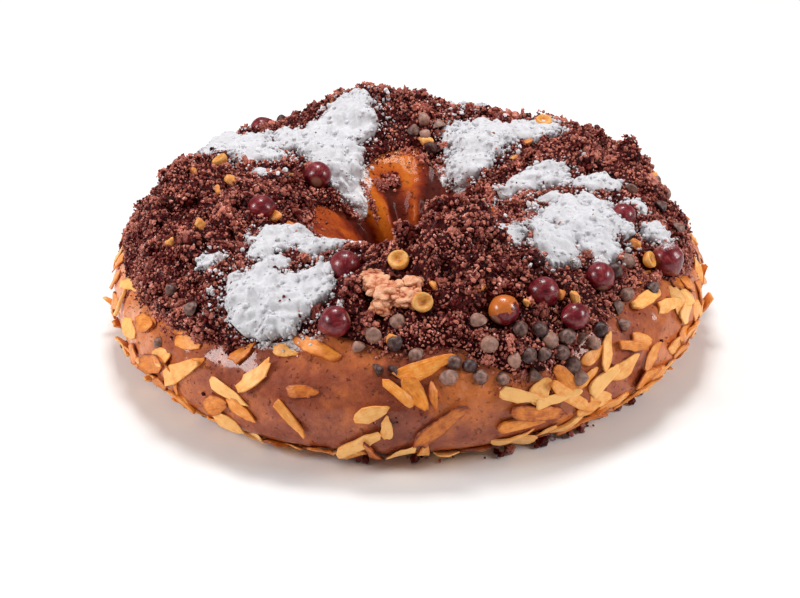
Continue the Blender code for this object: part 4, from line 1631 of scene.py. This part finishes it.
@dataclass
class Crust:
    """The bread ring's crust, with swells, blisters and the folds of the hole."""

    form: RingForm
    sugar: SugarHeaps
    ring_steps: int = 540
    lean_zones: tuple[tuple[float, float, int], ...] = (
        (-67.0, 42.0, 64),
        (42.0, 112.0, 12),
        (112.0, 215.0, 54),
        (215.0, 293.0, 9),
    )
    # Rows of (middle turn, middle lean, half turn, half lean, strength) for the baking tone; the rows at turns -78,
    # 68 and 84 paint the side flanks paler as light falling on them.
    bake_and_light_zones: Table = (
        (-78, 14, 24, 50, -0.56),
        (-50, 0, 14, 30, -0.06),
        (15, 20, 9, 16, -0.22),
        (-6, 2, 12, 20, 0.06),
        (-30, 16, 12, 14, 0.10),
        (56, 22, 8, 14, 0.05),
        (68, 8, 16, 26, -0.30),
        (84, 10, 10, 30, -0.20),
        (40, -12, 16, 10, -0.10),
    )
    # Rows of (middle turn, middle lean, half turn, half lean, strength) added to the fold mark: positive rows darken,
    # for the wine-red glaze and painted shade in gaps between folds; negative rows lighten golden bands.
    gap_zones: Table = (
        (-170, 118, 13, 9, -0.45),
        (178, 130, 6, 10, -0.40),
        (-147, 148, 7, 22, -0.25),
        (-160, 137, 12, 5, 0.45),
        (-165, 153, 5, 12, 0.60),
        (172, 156, 7, 14, -0.15),
        (155, 132, 11, 24, 0.60),
        (128, 134, 8, 16, -0.30),
    )

    def leans(self) -> Array:
        """The rows' leans: close together where the crust shows, wide apart under the crumb and below."""
        return np.concatenate([np.linspace(low, high, count, endpoint=False) for low, high, count in self.lean_zones])

    def relief(self, turn: Array, lean: Array) -> Array:
        """Swells of 25 mm, wrinkles of 9 mm, sparse blisters, and slanting folds in the hole.

        Args:
            turn: Turns in degrees.
            lean: Leans in degrees.

        Returns:
            Metres above or below the plain crust, none on the flat base.
        """
        here = self.form.crust(turn, lean)
        wide = soft_noise(here, 0.026, 21)
        wrinkle = clouds(here, 0.009, 3, 24)
        blister, chance = domes(here, 0.0110, 28)
        raised = np.clip(blister - 0.72, 0.0, 1.0) * np.where(chance > 0.55, 1.0, 0.0)
        hole = self.hole(lean)
        folds = 0.0030 * self.folded(turn, lean) + 0.0004 * clouds(here, 0.0030, 2, 34)
        total = 0.0008 * wide + 0.00045 * wrinkle + 0.0022 * raised
        return (total * (1.0 - 0.5 * hole) + folds * hole) * ease(here[..., 2], 0.0, 0.004)

    @staticmethod
    def folded(turn: Array, lean: Array) -> Array:
        """Slanting folds of the hole's wall, 1 on their backs and -1 in the gaps: noise drawn out along the lean."""
        slant = np.radians(turn + 0.22 * (lean - 90.0))
        drawn = np.stack([0.030 * np.sin(slant), 0.030 * np.cos(slant), 0.00016 * lean], axis=-1)
        return np.clip(1.7 * soft_noise(drawn, 0.0115, 33) + 0.7 * soft_noise(drawn, 0.0052, 35), -1.0, 1.0)

    @staticmethod
    def hole(lean: Array) -> Array:
        """1 on the wall of the hole and 0 elsewhere."""
        return ease(lean, 100.0, 125.0) * (1.0 - ease(lean, 205.0, 235.0))

    def build(self, bench: Bench) -> None:
        """Makes the crust and dresses it."""
        turns = np.linspace(-180.0, 180.0, self.ring_steps, endpoint=False)
        lean, turn = np.meshgrid(self.leans(), turns, indexing="ij")
        points = self.form.above(turn, lean, self.relief(turn, lean))
        points[..., 2] = np.maximum(points[..., 2], 0.0)
        shape = Shape(points.reshape(-1, 3), [grid_faces(*lean.shape, tube=True)])
        under = ease(-lean, 20.0, 62.0) * np.where(lean < 90.0, 1.0, 0.0)
        # Baking tone with painted light on the side flanks, paler on the underside.
        bake_and_light = 0.56 + zones(turn, lean, self.bake_and_light_zones) - 0.22 * under
        shape.marks["bake_and_light"] = bake_and_light.ravel()
        shape.marks["hole"] = (0.92 * self.hole(lean)).ravel()
        # Fold mark: low on the folds' backs and high in the gaps between them, which paints shade in the gaps, plus
        # the patches of the hole's glaze.
        gaps = 0.46 - 0.38 * self.folded(turn, lean) + zones(turn, lean, self.gap_zones)
        shape.marks["fold"] = gaps.ravel()
        shape.marks["dust"] = (self.sugar.dust(turn, lean) * np.where(lean < 170.0, 1.0, 0.0)).ravel()
        bench.piece("crust", shape.outward(), CrustFinish().make(), stands_for=("bread_ring",))


@dataclass
class Chips:
    """Chocolate drops: round flat-based drops drawn out to a tip."""

    form: RingForm
    top: CrumbTop
    sugar: SugarHeaps
    width: float = 0.0074
    placed: Table = (
        (-9, 47), (-6, 51), (-10, 78), (-2, 47), (-2, 34), (8, 28), (14, 27), (18, 24), (20, 32), (24, 23),
        (26, 32), (28, 38), (16, 42), (32, 23), (33, 14), (38, 31), (30, 31), (15, 54), (-51, 16),
        (-54, 44), (-46, 42), (60, 58), (44, 78), (77, 72), (45, 69), (12, 33), (41, 36), (47, 33), (21, 27),
        (-12, 56), (2, 42), (9, 37), (23, 46), (34, 44), (52, 46), (57, 66),
    )
    clusters: Table = (
        (24, 36, 20, 8, 6),
        (60, 48, 14, 8, 3),
        (90, 58, 10, 12, 2),
        (120, 46, 20, 12, 3),
        (160, 45, 25, 14, 3),
        (-140, 50, 25, 16, 4),
        (-5, 56, 10, 8, 2),
        (178, 106, 12, 8, 5),
        (-45, 118, 14, 8, 4),
    )

    @cached_property
    def spots(self) -> tuple[Array, Array, Array]:
        """Turns, leans and middles: those listed, then clusters thinned so that no two share a spot."""
        rng = np.random.default_rng(23)
        turns = [row[0] for row in self.placed]
        leans = [row[1] for row in self.placed]
        for turn, lean, half_turn, half_lean, count in self.clusters:
            turns += list(rng.normal(turn, half_turn / 1.6, int(count * 2)))
            leans += list(rng.normal(lean, half_lean / 1.6, int(count * 2)))
        turn, lean = np.array(turns, float), np.array(leans, float)
        inside, _ = self.sugar.spread(turn, lean)
        first = np.arange(len(turn)) < len(self.placed)
        middle = self.form.above(turn, lean, self.top.height(turn, lean) + 0.0010)
        keep = (self.top.firm.gap(middle) > 0.0022) & (first | ~((inside > 0.0) | (lean > 122.0)))
        turn, lean, middle = turn[keep], lean[keep], middle[keep]
        keep = spaced(middle, np.full(len(turn), 0.0031), 0)
        return turn[keep], lean[keep], middle[keep]

    def build(self, bench: Bench) -> None:
        """Makes the drops: radius = (1 - level^1.7)^0.75 min(1, level / 0.05)^0.5 with a faint ripple, leaning over
        above level 0.4.
        """
        rng = np.random.default_rng(24)
        turn, lean, middle = self.spots
        count = len(turn)
        template = pillow(11, 16)
        polar, angle = template.marks["polar"], template.marks["angle"]
        level = (1.0 + np.cos(polar)) / 2.0
        round_side = (1.0 - level**1.7) ** 0.75 * np.clip(level / 0.05, 0.0, 1.0) ** 0.5
        radius = np.where(np.sin(polar) < 1e-6, 0.0, round_side * (1.0 + 0.035 * np.sin(20 * level)))
        height = 1.25 * level - 0.35
        points = np.stack([radius * np.cos(angle), radius * np.sin(angle), height], axis=-1)
        lean_over = rng.normal(0.0, 0.16, (count, 1)) * np.clip(level - 0.4, 0.0, 1.0)[None]
        size = self.width / 2 * rng.uniform(0.80, 1.12, count)
        points = points[None] * size[:, None, None] * rng.uniform(0.90, 1.10, (count, 1, 3))
        points[..., 0] += lean_over * size[:, None]
        normal = self.form.normal(turn, lean)
        axes = axes_on(normal, rng.uniform(0, 2 * np.pi, count), rng.normal(0.0, 0.85, count))
        shape = strewn(template, points, axes, middle)
        each = len(polar)
        shape.marks["tone"] = np.repeat(rng.uniform(0.1, 1.0, count), each)
        # The rim mark holds the height up the drop, which the finish paints lighter towards the tip as light.
        shape.marks["rim"] = np.tile(level, count)
        shape.marks["dust"] = np.repeat(self.sugar.dust(turn, lean) * 0.7, each)
        bench.piece("chocolate_drops", shape.outward(), ChipFinish().make())


@dataclass
class Nibs:
    """Broken bits of toasted hazelnut, two half nuts with their hollows, and a torn patch of pale dough."""

    form: RingForm
    bed: CrumbBed
    sugar: SugarHeaps
    placed: Table = (
        (-20, 64, 0.0026), (36, 58, 0.0024), (38, 54, 0.0026), (20, 62, 0.0028), (17, 66, 0.0022),
        (-70, 104, 0.0030), (-92, 88, 0.0030), (-34, 108, 0.0030), (-60, 108, 0.0032), (66, 60, 0.0026),
        (150, 112, 0.0032), (170, 108, 0.0030), (-66, 72, 0.0030), (27, 58, 0.0020),
    )
    halves: Table = (
        (-1, 81, 0.0048, 0.5),
        (4, 63, 0.0046, 0.7),
        (64, 50, 0.0040, 0.6),
        (-112, 74, 0.0042, 0.4),
        (138, 66, 0.0042, -0.5),
    )
    dough: Table = (
        (-6, 73, 0.0062, 0.0110),
        (-3, 70, 0.0068, 0.0115),
        (1, 67, 0.0062, 0.0105),
        (-8, 79, 0.0050, 0.0090),
        (2, 73, 0.0046, 0.0085),
        (-5, 64, 0.0046, 0.0090),
    )
    strays: int = 28

    @cached_property
    def spots(self) -> KeepOut:
        """Where the half nuts and the dough lie, for the crumb to keep clear of."""
        rows = np.array([row[:3] for row in self.halves + self.dough], float)
        over = self.bed.height(rows[:, 0], rows[:, 1]) + 0.0020
        return KeepOut(self.form.above(rows[:, 0], rows[:, 1], over), rows[:, 2] * 0.95)

    def dressed(self, shape: Shape, points: Array, tone: Array, turn: Array, lean: Array) -> Shape:
        """A shape with the marks that its finish reads."""
        count, each = points.shape[:2]
        shape.marks["own"] = (points + np.arange(count)[:, None, None] * 0.05).reshape(-1, 3)
        shape.marks["tone"] = np.broadcast_to(tone, (count, each)).ravel()
        shape.marks["rim"] = np.zeros(count * each)
        shape.marks["dust"] = np.repeat(0.6 * self.sugar.dust(turn, lean), each)
        return shape

    def bits(self, top: CrumbTop, rng: np.random.Generator) -> Shape:
        """The bits: a ball cut flat on chance sides, reach = least of 1 and 0.55 / the strongest of five cuts."""
        rows = np.array(self.placed, float)
        turn = np.concatenate([rows[:, 0], rng.uniform(-180, 180, self.strays)])
        lean = np.concatenate([rows[:, 1], rng.uniform(46, 112, self.strays)])
        size = np.concatenate([rows[:, 2], rng.uniform(0.0014, 0.0028, self.strays)])
        inside, _ = self.sugar.spread(turn, lean)
        middle = self.form.above(turn, lean, top.height(turn, lean) + 0.45 * size)
        keep = (top.firm.gap(middle) > 0.0) & (inside < 0.0)
        turn, lean, size, middle = (a[keep] for a in (turn, lean, size, middle))
        count = len(turn)
        template = ball(2)
        cuts = unit(rng.normal(size=(count, 5, 3)))
        strongest = np.einsum("kj,ncj->nkc", template.points, cuts).max(axis=-1)
        reach = np.minimum(1.0, 0.55 / np.maximum(strongest, 0.3))
        own = template.points[None] + rng.uniform(-9.0, 9.0, (count, 1, 3))
        reach = reach * (1.0 + 0.16 * soft_noise(own, 0.5, 151))
        points = template.points[None] * reach[..., None] * size[:, None, None] * [1.45, 1.10, 0.85]
        shape = strewn(template, points, any_axes(count, rng), middle)
        return self.dressed(shape, points, rng.uniform(0.40, 0.80, count)[:, None], turn, lean)

    def cups(self, rng: np.random.Generator) -> Shape:
        """The half nuts: balls of half height whose cut face sinks to a pit, with a rounded lip."""
        turn, lean, size, tilt = np.array(self.halves, float).T
        template = pillow(24, 28)
        polar = template.marks["polar"]
        hollow = 0.46 * np.exp(-((polar / 0.62) ** 2.2))
        level = np.where(polar < np.pi / 2, 0.42 * np.clip(np.cos(polar), 0.0, 1.0) ** 0.5, 0.95 * np.cos(polar))
        level = level - hollow
        points = template.points.copy()
        points[:, 2] = level
        uneven = 1.0 + 0.06 * soft_noise(template.points[None] + 5.0 * np.arange(len(turn))[:, None, None], 0.7, 157)
        points = points[None] * uneven[..., None] * size[:, None, None] * [1.0, 0.92, 1.0]
        axes = axes_on(self.form.normal(turn, lean), rng.uniform(0, 0.6, len(turn)), tilt)
        middle = self.form.above(turn, lean, self.bed.height(turn, lean) + 0.0042)
        shape = strewn(template, points, axes, middle)
        # Darker in the pit as painted shade, and browner on the rounded outside.
        tone = 0.30 + 0.40 * np.exp(-((polar / 0.40) ** 2.4)) + 0.25 * (polar > 1.7)
        return self.dressed(shape, points, tone[None], turn, lean)

    def patch(self, rng: np.random.Generator) -> Shape:
        """The torn dough: overlapping low lumps, each a ball with noise of 2 and 0.9 mm on its radius."""
        turn, lean, size, high = np.array(self.dough, float).T
        template = ball(4)
        own = template.points[None] * size[:, None, None] + rng.uniform(-1.0, 1.0, (len(turn), 1, 3))
        coarse = np.abs(soft_noise(own, 0.0030, 161))
        fine = soft_noise(own, 0.0012, 163)
        reach = 0.80 + 0.42 * coarse + 0.09 * fine
        points = template.points[None] * (reach * size[:, None])[..., None] * [1.15, 1.0, 0.62]
        middle = self.form.above(turn, lean, self.bed.height(turn, lean) + 0.30 * (high - 0.0050) + 0.0004)
        axes = axes_on(self.form.normal(turn, lean), rng.uniform(-0.4, 0.4, len(turn)), np.zeros(len(turn)))
        shape = strewn(template, points, axes, middle)
        # Tone follows the lumps' height: cream on their tops, with peach and rust painted as shade in the hollows.
        shape.marks["tone"] = (0.75 * coarse + 0.2 * fine + 0.25).ravel()
        return shape

    def build(self, bench: Bench, top: CrumbTop) -> None:
        """Makes the bits, the half nuts and the dough and dresses them."""
        rng = np.random.default_rng(29)
        bits = AlmondFinish("toasted_bits", srgb(255, 208, 140), srgb(236, 158, 76), srgb(186, 92, 28)).make()
        bench.piece("hazelnut_bits", self.bits(top, rng).outward(), bits)
        halves = AlmondFinish("hazelnut_halves", srgb(238, 184, 108), srgb(212, 134, 44), srgb(166, 80, 22)).make()
        bench.piece("hazelnut_halves", self.cups(rng).outward(), halves)
        bench.piece("torn_dough", self.patch(rng).outward(), DoughFinish().make())


@dataclass
class Flakes:
    """Slivers and flakes of toasted almond on the crust, thickest low on the flank."""

    form: RingForm
    sugar: SugarHeaps
    solids: Table = (
        (-17, 44, -15, 0.0235, 0.0060),
        (4, 35, 21, 0.0265, 0.0068),
        (-18, 20, 9, 0.0160, 0.0060),
        (-1, 22, -42, 0.0160, 0.0045),
        (5, 19, -84, 0.0120, 0.0040),
        (6, 2, 37, 0.0280, 0.0070),
        (-8, -8, 34, 0.0235, 0.0060),
        (-3, 1, 90, 0.0120, 0.0050),
        (21, 12, -23, 0.0200, 0.0055),
        (31, 3, -40, 0.0260, 0.0060),
        (24, 0, -13, 0.0260, 0.0070),
        (41, -10, 0, 0.0180, 0.0050),
        (40, 23, 58, 0.0170, 0.0060),
        (44, 9, 16, 0.0190, 0.0075),
        (57, 38, -5, 0.0220, 0.0065),
        (68, 20, -16, 0.0190, 0.0090),
        (51, 7, 36, 0.0150, 0.0050),
        (-51, 2, 30, 0.0240, 0.0085),
        (-43, 9, 39, 0.0260, 0.0070),
        (-29, 0, -23, 0.0160, 0.0065),
        (-27, 23, 52, 0.0200, 0.0080),
        (-75, 4, 18, 0.0200, 0.0080),
        (77, 6, -78, 0.0180, 0.0060),
        (-97, 8, 58, 0.0220, 0.0070),
        (-128, 4, 12, 0.0210, 0.0074),
        (-165, 6, -24, 0.0220, 0.0070),
        (148, 2, 18, 0.0225, 0.0076),
        (114, 0, -36, 0.0205, 0.0070),
    )
    seen: Table = (
        (61, 48, -7, 0.0140, 0.0060),
        (-46, 32, 30, 0.0130, 0.0055),
        (-44, 26, 10, 0.0170, 0.0060),
        (-55, 26, 106, 0.0090, 0.0045),
        (-68, 29, 19, 0.0220, 0.0065),
        (-23, 40, 1, 0.0120, 0.0050),
        (58, -12, -5, 0.0170, 0.0055),
        (37, 24, 15, 0.0160, 0.0055),
        (-78, 15, 60, 0.0150, 0.0060),
        (-82, 24, 80, 0.0160, 0.0060),
        (-86, 20, 96, 0.0140, 0.0060),
        (70, 30, -30, 0.0150, 0.0080),
        (66, 14, 10, 0.0160, 0.0080),
        (72, 24, -50, 0.0140, 0.0080),
        (-57, 20, 20, 0.0150, 0.0080),
        (-62, 8, -10, 0.0150, 0.0070),
    )
    strays: int = 290
    thickness: float = 0.0014

    def table(self, rng: np.random.Generator) -> Array:
        """Rows of turn, lean, spin, length and width: those of the solids, those seen, then strays."""
        count = self.strays * 8
        turn = rng.uniform(-180.0, 180.0, count)
        lean = rng.normal(-18.0, 24.0, count)
        quiet = (np.abs(apart(turn, -4.0)) < 24.0) & (lean > -18.0)
        quiet = quiet | ((np.abs(apart(turn, -74.0)) < 22.0) & (lean > -14.0))
        chance = np.where(quiet, 0.12, 1.0)
        chance = chance * np.where((lean > -52.0) & (lean < 34.0), 1.0, 0.0)
        keep = rng.uniform(size=count) < chance
        turn, lean = turn[keep], lean[keep]
        count = len(turn)
        oval = rng.uniform(size=count) < 0.45
        length = np.where(oval, rng.uniform(0.012, 0.018, count), rng.uniform(0.011, 0.024, count))
        width = np.where(oval, rng.uniform(0.0070, 0.0095, count), rng.uniform(0.0036, 0.0062, count))
        spin = rng.normal(0.0, 42.0, count)
        strays = np.stack([turn, lean, spin, length, width], axis=-1)
        known = np.array(self.solids + self.seen, float)
        rows = np.concatenate([known, strays])
        middle = self.form.crust(rows[:, 0], rows[:, 1])
        keep = spaced(middle, np.full(len(rows), 0.0034), len(known))
        return rows[keep][: len(known) + self.strays]

    def build(self, bench: Bench) -> None:
        """Makes the flakes.

        Outline: x = cos(a), y = |sin(a)|^p (1 - taper x), with p = 0.45 for slivers, which are blunt,
        and 1.05 for flakes, which are pointed, and each corner moved by chance. The polar rows are
        pressed flat: height = |cos(polar)|^0.5. The flake is bent, z = -bend x^2, and twisted by x y.
        """
        rng = np.random.default_rng(37)
        rows = self.table(rng)
        count = len(rows)
        turn, lean, spin, length, width = rows.T
        template = pillow(7, 16)
        polar, angle = template.marks["polar"], template.marks["angle"]
        disc = np.clip(np.sin(polar) * 1.30, 0.0, 1.0)
        rise = signed_power(np.cos(polar), 0.30)
        sliver = (length / width > 3.1)[:, None]
        column = np.round(angle / (2 * np.pi) * 16).astype(int) % 16
        ragged = 1.0 + 0.075 * rng.normal(size=(count, 16))[:, column]
        a = angle[None]
        taper = rng.uniform(0.10, 0.50, count)[:, None]
        side = np.abs(np.sin(a))
        blunt = np.where(sliver, side**0.45, side**1.05)
        x = np.cos(a) * disc[None]
        y = np.sign(np.sin(a)) * blunt * disc[None] * (1.0 - taper * x) * ragged
        x = x * ragged + np.where(sliver, 0.10, 0.0) * y * rng.normal(size=(count, 1))
        thick = self.thickness * np.where(sliver[:, 0], rng.uniform(0.8, 1.4, count), rng.uniform(0.5, 0.8, count))
        bend = rng.normal(0.02, 0.06, count)[:, None]
        twist = rng.normal(0.0, 0.22, count)[:, None]
        z = rise[None] * thick[:, None] / 2
        z = z - bend * x**2 * length[:, None] + twist * x * y * width[:, None] / 2
        z = z + 0.0003 * np.sin(5 * x + 9 * taper) * disc[None]
        points = np.stack([x * length[:, None] / 2, y * width[:, None] / 2, z], axis=-1)
        normal = self.form.normal(turn, lean)
        listing = rng.normal(0.0, 0.20, count)
        axes = axes_on(normal, np.radians(spin), listing)
        lift = thick / 2 + 0.0005 + np.abs(np.sin(listing)) * width * 0.22
        middle = self.form.above(turn, lean, lift)
        low = (np.einsum("nkj,nji->nki", points, axes)[..., 2] + middle[:, None, 2]).min(axis=1)
        middle[:, 2] += np.clip(0.0002 - low, 0.0, None)
        shape = strewn(template, points, axes, middle)
        each = len(polar)
        shape.marks["own"] = (points + np.arange(count)[:, None, None] * 0.05).reshape(-1, 3)
        shape.marks["tone"] = np.repeat(np.clip(rng.normal(0.34, 0.24, count), 0.0, 0.72), each)
        shape.marks["rim"] = np.tile(disc, count)
        shape.marks["dust"] = np.repeat(self.sugar.dust(turn, lean) * 0.7, each)
        look = AlmondFinish("toasted_flakes").make()
        bench.piece("almond_flakes", shape.outward(), look, stands_for=nodes_named("almond_flake"))


@dataclass
class Fallen:
    """Crumbs on the flank of the crust and fallen round the foot of the ring."""

    form: RingForm
    sugar: SugarHeaps

    def build(self, bench: Bench) -> None:
        """Makes the strays: small uneven balls on the crust and on the table beside it."""
        rng = np.random.default_rng(43)
        template = ball(0)
        flank = 170
        turn = rng.uniform(-180, 180, flank)
        lean = rng.triangular(-40, 34, 40, flank)
        size = 0.0004 + 0.0009 * rng.uniform(size=flank) ** 2.5
        middle = self.form.above(turn, lean, 0.5 * size)
        foot = 300
        around = np.concatenate([rng.normal(33, 14, foot // 2), rng.uniform(-180, 180, foot - foot // 2)])
        reach = 0.1195 + 0.012 * rng.uniform(size=foot) ** 2.0
        foot_size = 0.0006 + 0.0022 * rng.uniform(size=foot) ** 2.4
        angle = np.radians(around)
        floor = np.stack([reach * np.sin(angle), -reach * np.cos(angle), 0.8 * foot_size], axis=-1)
        middle = np.concatenate([middle, floor])
        size = np.concatenate([size, foot_size])
        pushed = rng.uniform(0.7, 1.2, (len(size), len(template.points)))
        points = template.points[None] * pushed[..., None] * size[:, None, None]
        middle[:, 2] = np.maximum(middle[:, 2], 0.84 * size)
        shape = strewn(template, points, any_axes(len(size), rng), middle)
        shape.points[:, 2] = np.maximum(shape.points[:, 2], 0.0)
        each = len(template.points)
        shape.marks["tone"] = np.repeat(rng.uniform(0.2, 0.9, len(size)), each)
        shape.marks["dust"] = np.zeros(len(size) * each)
        look = CrumbFinish("cake_crumb_fallen", bump=0.0003).make()
        bench.piece("fallen_crumbs", shape, look, smooth=False)


@dataclass
class Studio:
    """A pale floor, soft light from above and both sides, and the camera."""

    distance: float = 0.84
    elevation: float = 28.0
    target: tuple[float, float, float] = (0.0, 0.0, 0.030)
    lens: float = 78.165

    def build(self) -> None:
        """Makes the floor, the lights, the sky and the camera."""
        self.floor()
        self.light("light_left", (-0.95, -0.35, 0.62), 0.36, 7.6)
        self.light("light_right", (0.95, -0.20, 0.55), 0.36, 6.2)
        self.light("light_above", (-0.05, 0.35, 1.10), 0.36, 9.4)
        world = bpy.data.worlds.new("soft_room")
        bpy.context.scene.world = world
        world.use_nodes = True
        sky = world.node_tree.nodes["Background"]
        sky.inputs["Color"].default_value = (1.0, 1.0, 1.0, 1.0)
        sky.inputs["Strength"].default_value = 0.19
        bpy.context.scene.view_settings.view_transform = "Standard"
        self.camera()

    def floor(self) -> None:
        """A wide level plane just under the ring."""
        side = 3.0
        corners = np.array([(-side, -side, 0), (side, -side, 0), (side, side, 0), (-side, side, 0)], float)
        corners[:, 2] = -0.0002
        table = Shape(corners, [np.array([[0, 1, 2, 3]])])
        Bench.solid("table_top", table, FloorFinish().make())

    def light(self, name: str, place: tuple[float, float, float], size: float, power: float) -> None:
        """A square area light aimed at the ring."""
        lamp = bpy.data.lights.new(name, "AREA")
        lamp.size = size
        lamp.energy = power
        obj = bpy.data.objects.new(name, lamp)
        obj.location = place
        aim = Vector(self.target) - Vector(place)
        obj.rotation_euler = aim.to_track_quat("-Z", "Y").to_euler()
        bpy.context.scene.collection.objects.link(obj)

    def camera(self) -> None:
        """The camera, at the front and above, with a small shift that frames the ring."""
        lens = bpy.data.cameras.new("camera")
        lens.lens = self.lens
        lens.sensor_width = 36.0
        lens.shift_x = -0.0056
        lens.shift_y = -0.050
        rise = math.radians(self.elevation)
        away = Vector((0.0, -math.cos(rise), math.sin(rise))) * self.distance
        obj = bpy.data.objects.new("camera", lens)
        obj.location = Vector(self.target) + away
        obj.rotation_euler = (-away).to_track_quat("-Z", "Y").to_euler()
        bpy.context.scene.collection.objects.link(obj)
        bpy.context.scene.camera = obj


def main() -> None:
    """Builds the ring's sub-assemblies in order, then the studio."""
    bench = Bench()
    form = RingForm()
    bed = CrumbBed(form)
    sugar = SugarHeaps(form, bed)
    nuts = Nuts(form, sugar)
    nibs = Nibs(form, bed, sugar)
    top = CrumbTop(form, bed, sugar, nuts.room.joined(nibs.spots))
    chips = Chips(form, top, sugar)
    drops = chips.spots[2]
    taken = top.firm.joined(KeepOut(drops, np.full(len(drops), 0.0030)))
    crust = Crust(form, sugar)
    crust.build(bench)
    Crumb(form, top, sugar, taken, crust).build(bench)
    sugar.build(bench)
    nuts.build(bench)
    chips.build(bench)
    nibs.build(bench, top)
    Flakes(form, sugar).build(bench)
    Fallen(form, sugar).build(bench)
    Studio().build()


if __name__ == "__main__":
    main()
